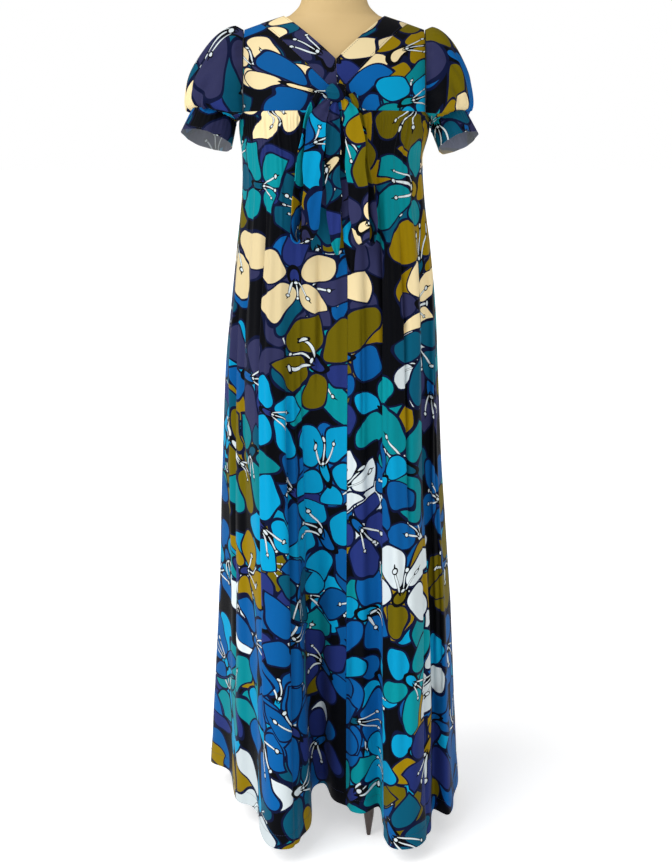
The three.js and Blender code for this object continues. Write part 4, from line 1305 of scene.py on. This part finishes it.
class DRESS_OT_tie(bpy.types.Operator):
    """Knot, two hanging loops and two pointed ends"""

    bl_idname = "dress.tie"
    bl_label = "Tie"

    def execute(self, context):
        cloth = context.scene.dress_cloth
        forward = np.array([0.0, -1.0, 0.0])
        for name, rows, shift in (
            ("tie_loop_left", LOOP_LEFT, (41.0, 1.0)),
            ("tie_loop_right", LOOP_RIGHT, (43.4, 2.0)),
            ("tie_tail_left", TAIL_LEFT, (45.2, 3.0)),
            ("tie_tail_right", TAIL_RIGHT, (47.7, 4.0)),
        ):
            points = tie_surface(cloth, rows, 12, 15)
            cloth_shell(name, points, cloth.tie, forward, shift, doubled=True)
        front = skirt_front(cloth, KNOT["x"], KNOT["z"]) - KNOT["off"]
        rounds = np.linspace(0, ROUND, 96, endpoint=False)
        turn, rise = np.meshgrid(rounds, np.linspace(-0.94, 0.94, 60))
        girth = (1 - np.abs(rise) ** 2.6) ** 0.42
        wrap = 6.5 * rise + 1.7 * np.cos(turn) + 0.5 * np.sin(2 * turn)
        girth = girth * (1 + 0.075 * np.cos(wrap) + 0.03 * np.cos(2.6 * wrap + 1))
        wide = KNOT["width"] * girth * (1 + 0.06 * rise)
        x = KNOT["x"] + wide * signed(np.cos(turn), 0.8)
        y = front + KNOT["depth"] * girth * signed(np.sin(turn), 0.8)
        rings = np.stack([x, y, KNOT["z"] + KNOT["height"] * rise], axis=-1)
        knot = ring_solid("tie_knot_cloth", rings, dress_print())
        corners = np.array([corner.co for corner in knot.data.vertices])
        lay_flat(knot.data, corners[:, [0, 2]] + 51.0)
        declare(knot)
        return {"FINISHED"}


def thread_row(line, normal, lift, pitch=4.2, length=3.0, half=0.34):
    """Corners and faces of a row of stitches along a line of points."""
    run = run_length(line[:, None], 0)[:, 0]
    pick = lambda rows, at: np.stack([np.interp(at, run, rows[:, k]) for k in range(3)], axis=1)
    middle = (np.arange(int(run[-1] // pitch)) + 0.5) * pitch
    corners = []
    for part, girth, sink in ((-0.5, 0.45, 0.25), (0.0, 1.0, 0.0), (0.5, 0.45, 0.25)):
        at = middle + part * length
        way = unit(pick(line, at + 0.5) - pick(line, at - 0.5))
        out = pick(normal, at)
        out = unit(out - way * dot(out, way)[:, None])
        side = np.cross(way, out)
        centre = pick(line, at) + out * (lift - sink)
        for a, b in ((1, 0), (0, 1), (-1, 0), (0, -1)):
            corners.append(centre + (side * a + out * b) * half * girth)
    faces = []
    for ring in (0, 4):
        for k in range(4):
            a, b = ring + k, ring + (k + 1) % 4
            faces.append((a, b, b + 4, a + 4))
    faces += [(3, 2, 1, 0), (8, 9, 10, 11)]
    points = np.stack(corners, axis=1).reshape(-1, 3)
    return points, [[12 * k + c for c in face] for k in range(len(middle)) for face in faces]


class DRESS_OT_stitching(bpy.types.Operator):
    """Rows of stitches at the hem, the cuffs and the neckband's edges"""

    bl_idname = "dress.stitching"
    bl_label = "Stitching"

    def execute(self, context):
        scene = context.scene
        cloth, yoke = scene.dress_cloth, scene.dress_yoke
        # Grids of three lines with the seam along the middle one, and the cloth's half thickness.
        grids = []
        level = 1 - cloth.hem_depth / (cloth.yoke_seam - cloth.hem) + np.array([-0.002, 0, 0.002])
        for panel in PANELS:
            place = panel_places(panel.start, panel.end, 400)[2:-2]
            grids.append((skirt_surface(scene, place, level), cloth.cloth / MM * 0.95))
        half = cloth.band / MM / 2
        for spec in SLEEVES:
            lines = np.array([0.91, 0.93, 0.95])
            grids.append((cuff_surface(spec, np.linspace(0, ROUND, 241), lines), half))
        start = arch_angle(yoke, yoke.tie_line / MM) + 0.03
        top = QUARTER - SHOULDER_GAP - 0.01
        for edge in (0.07, 0.93):
            lanes = edge + np.array([-0.02, 0, 0.02])
            for side in (-1, 1):
                lines = []
                for angle in np.linspace(start, top, 80):
                    lane = mix(*band_edges(yoke, angle, side), lanes)
                    lines.append(yoke_point(yoke, lane, angle))
                grids.append((np.stack(lines, axis=1), half))
            lines = []
            for turn in np.linspace(-0.985, 0.985, 120):
                near = back_edge(turn, yoke.neck / MM, BACK_NECK_FALL)
                far = back_edge(turn, yoke.band / MM, BACK_BAND_FALL)
                lines.append(yoke_point(yoke, *(mix(a, b, lanes) for a, b in zip(near, far))))
            grids.append((np.stack(lines, axis=1), half))
        points, faces, count = [], [], 0
        for grid, half in grids:
            line, normal = grid[1], grid_normals(grid)[1]
            on_yoke = grid[..., 2].min() > 1300
            middle = np.array([0, 0, YOKE_SEAM_Z]) if on_yoke else line.mean(axis=0)
            if np.mean(dot(normal, line - middle)) < 0:
                normal = -normal
            corners, sides = thread_row(line, normal, half + 0.1)
            points.append(corners)
            faces += [[corner + count for corner in face] for face in sides]
            count += len(corners)
        points, slots = np.concatenate(points), [0] * len(faces)
        piece = finish_mesh("stitching_rows", points, faces, (thread(),), slots)
        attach(piece, "root")
        return {"FINISHED"}


def deselect():
    if bpy.context.object and bpy.context.object.mode != "OBJECT":
        bpy.ops.object.mode_set(mode="OBJECT")
    bpy.ops.object.select_all(action="DESELECT")


def finish_primitive(name, material, angle=35):
    piece = bpy.context.object
    for modifier in list(piece.modifiers):
        bpy.ops.object.modifier_apply(modifier=modifier.name)
    bpy.ops.object.transform_apply(location=True, rotation=True, scale=True)
    face_outward(piece, angle)
    piece.name = name + "_finished"
    piece.data.materials.clear()
    piece.data.materials.append(material)
    stand_for(piece)


def bevelled(piece, width, segments):
    bevel = piece.modifiers.new("round", "BEVEL")
    bevel.width = width
    bevel.segments = segments
    bevel.limit_method = "ANGLE"
    bevel.angle_limit = math.radians(40)


class DRESS_OT_form(bpy.types.Operator):
    """Smooth limbless torso with its neck"""

    bl_idname = "dress.form"
    bl_label = "Dress form"

    def execute(self, context):
        middle = context.scene.dress_yoke.middle / MM
        rows, levels = np.arange(len(FORM)), [row.z for row in FORM]
        between = 6
        places = np.arange((len(FORM) - 1) * between + 1) / between
        heights = np.interp(places, rows, levels)
        deselect()
        bpy.ops.mesh.primitive_circle_add(
            vertices=120,
            radius=FORM[0].half * MM,
            fill_type="NGON",
            location=(0, 0, FORM[0].z * MM),
        )
        piece = bpy.context.object
        bpy.ops.object.transform_apply(location=True, rotation=False, scale=False)
        bpy.ops.object.mode_set(mode="EDIT")
        bpy.ops.mesh.select_all(action="SELECT")
        for low, high in zip(heights[:-1], heights[1:]):
            rise = {"value": (0, 0, (high - low) * MM)}
            bpy.ops.mesh.extrude_region_move(TRANSFORM_OT_translate=rise)
        bpy.ops.object.mode_set(mode="OBJECT")
        for corner in piece.data.vertices:
            z = corner.co.z / MM
            turn = math.atan2(corner.co.x, -corner.co.y)
            at = np.interp(z, levels, rows)
            half, front, back, square = (along(FORM, key, at) for key in FORM[0]._fields[1:])
            s, c = signed(math.sin(turn), 2 / square), signed(math.cos(turn), 2 / square)
            place = np.array([middle + half * s, -(front if c > 0 else back) * c, z])
            corner.co = (place - MIDDLE) * MM
        finish_primitive("form_torso", form_cover(), 50)
        return {"FINISHED"}


class DRESS_OT_stand(bpy.types.Operator):
    """Pole, hub and three tapered legs"""

    bl_idname = "dress.stand"
    bl_label = "Stand"

    def execute(self, context):
        wood = dark_wood()
        axis = np.array([POLE["x"], POLE["y"], 0.0])
        for name, low, high, radius, width in (
            ("stand_pole", POLE["foot"], POLE["top"], POLE["radius"], 1.0),
            ("stand_hub", HUB["bottom"], HUB["top"], HUB["radius"], 9.0),
        ):
            deselect()
            bpy.ops.mesh.primitive_cylinder_add(
                vertices=72,
                radius=radius * MM,
                depth=(high - low) * MM,
                location=tuple((axis + (0, 0, (low + high) / 2) - MIDDLE) * MM),
            )
            bevelled(bpy.context.object, width * MM, 5)
            finish_primitive(name, wood)
        for number, degrees in enumerate(LEG_TURNS, 1):
            turn = math.radians(degrees)
            away = np.array([math.cos(turn), math.sin(turn), 0.0])
            place = np.linspace(0, len(LEG) - 1, 43)
            line = axis + away * along(LEG, "out", place)[:, None]
            line[:, 2] = along(LEG, "z", place)
            girth = along(LEG, "radius", place)
            deselect()
            bpy.ops.curve.primitive_nurbs_path_add(location=(0, 0, 0))
            path = bpy.context.object.data
            path.splines.clear()
            spline = path.splines.new("POLY")
            spline.points.add(len(line) - 1)
            for point, spot, radius in zip(spline.points, (line - MIDDLE) * MM, girth):
                point.co = (*spot, 1.0)
                point.radius = radius * MM
            path.bevel_depth = 1.0
            path.bevel_resolution = 6
            path.use_fill_caps = True
            bpy.ops.object.convert(target="MESH")
            finish_primitive("stand_leg_%d" % number, wood, 50)
        return {"FINISHED"}


class DRESS_OT_stage(bpy.types.Operator):
    """Pale floor, soft light and the camera"""

    bl_idname = "dress.stage"
    bl_label = "Stage"

    def execute(self, context):
        scene = context.scene
        stage = scene.dress_stage
        settings = {"Base Color": linear("stage"), "Roughness": 0.9, "Specular IOR Level": 0.1}
        settings.update({"Emission Color": (1, 1, 1, 1), "Emission Strength": stage.sweep})
        material, _, _ = new_material("pale floor", settings)
        bpy.ops.mesh.primitive_plane_add(size=600, location=(0, 0, 0))
        floor = context.object
        floor.name = "floor"
        floor.data.materials.append(material)
        world = bpy.data.worlds.new("soft sky")
        world.use_nodes = True
        scene.world = world
        g = Graph(world.node_tree)
        sky = world.node_tree.nodes["Background"]
        sky.inputs["Color"].default_value = (1, 1, 1, 1)
        sky.inputs["Strength"].default_value = stage.fill
        shown = g.put("ShaderNodeBackground", {"Color": (1, 1, 1, 1), "Strength": 1.0})
        seen = g.put("ShaderNodeLightPath").outputs["Is Camera Ray"]
        both = g.put("ShaderNodeMixShader", {0: seen, 1: sky.outputs[0], 2: shown.outputs[0]})
        g.tree.links.new(both.outputs[0], world.node_tree.nodes["World Output"].inputs["Surface"])
        for name, aim, angle, power in (
            ("key", (0.8, 0.6, -0.95), 48, stage.key),
            ("front", (-0.35, 0.9, -0.35), 50, stage.front),
            ("top", (0.05, 0.1, -1.0), 70, stage.top),
        ):
            light = bpy.data.lights.new(name, "SUN")
            light.angle = math.radians(angle)
            light.energy = power
            lamp = bpy.data.objects.new(name, light)
            lamp.rotation_euler = Vector(aim).to_track_quat("-Z", "Y").to_euler()
            scene.collection.objects.link(lamp)
        camera = bpy.data.cameras.new("camera")
        camera.lens = stage.lens
        camera.sensor_width = 36
        camera.sensor_fit = "AUTO"
        eye = bpy.data.objects.new("camera", camera)
        offset = -MIDDLE * MM
        eye.location = (offset[0], offset[1] - stage.distance, stage.height)
        eye.rotation_euler = (math.pi / 2 - stage.pitch, 0, 0)
        scene.collection.objects.link(eye)
        scene.camera = eye
        scene.view_settings.view_transform = "Standard"
        return {"FINISHED"}


class DRESS_PT_panel(bpy.types.Panel):
    """Sizes and build buttons"""

    bl_label = "Maxi dress"
    bl_idname = "DRESS_PT_panel"
    bl_space_type = "VIEW_3D"
    bl_region_type = "UI"
    bl_category = "Dress"

    def draw(self, context):
        layout = self.layout
        scene = context.scene
        for group in (scene.dress_cloth, scene.dress_yoke, scene.dress_stage):
            for key in group.__annotations__:
                layout.prop(group, key)
        for operator in STEPS:
            layout.operator(operator.bl_idname)


STEPS = (
    DRESS_OT_skirt,
    DRESS_OT_yoke,
    DRESS_OT_sleeves,
    DRESS_OT_tie,
    DRESS_OT_stitching,
    DRESS_OT_form,
    DRESS_OT_stand,
    DRESS_OT_stage,
)
CLASSES = (ClothSizes, YokeSizes, StageSizes, *STEPS, DRESS_PT_panel)


def register():
    for item in CLASSES:
        bpy.utils.register_class(item)
    bpy.types.Scene.dress_cloth = bpy.props.PointerProperty(type=ClothSizes)
    bpy.types.Scene.dress_yoke = bpy.props.PointerProperty(type=YokeSizes)
    bpy.types.Scene.dress_stage = bpy.props.PointerProperty(type=StageSizes)


def unregister():
    del bpy.types.Scene.dress_stage
    del bpy.types.Scene.dress_yoke
    del bpy.types.Scene.dress_cloth
    for item in reversed(CLASSES):
        bpy.utils.unregister_class(item)


def main():
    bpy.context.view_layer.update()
    register()
    bpy.ops.dress.skirt()
    bpy.ops.dress.yoke()
    bpy.ops.dress.sleeves()
    bpy.ops.dress.tie()
    bpy.ops.dress.stitching()
    bpy.ops.dress.form()
    bpy.ops.dress.stand()
    bpy.ops.dress.stage()


if __name__ == "__main__":
    main()
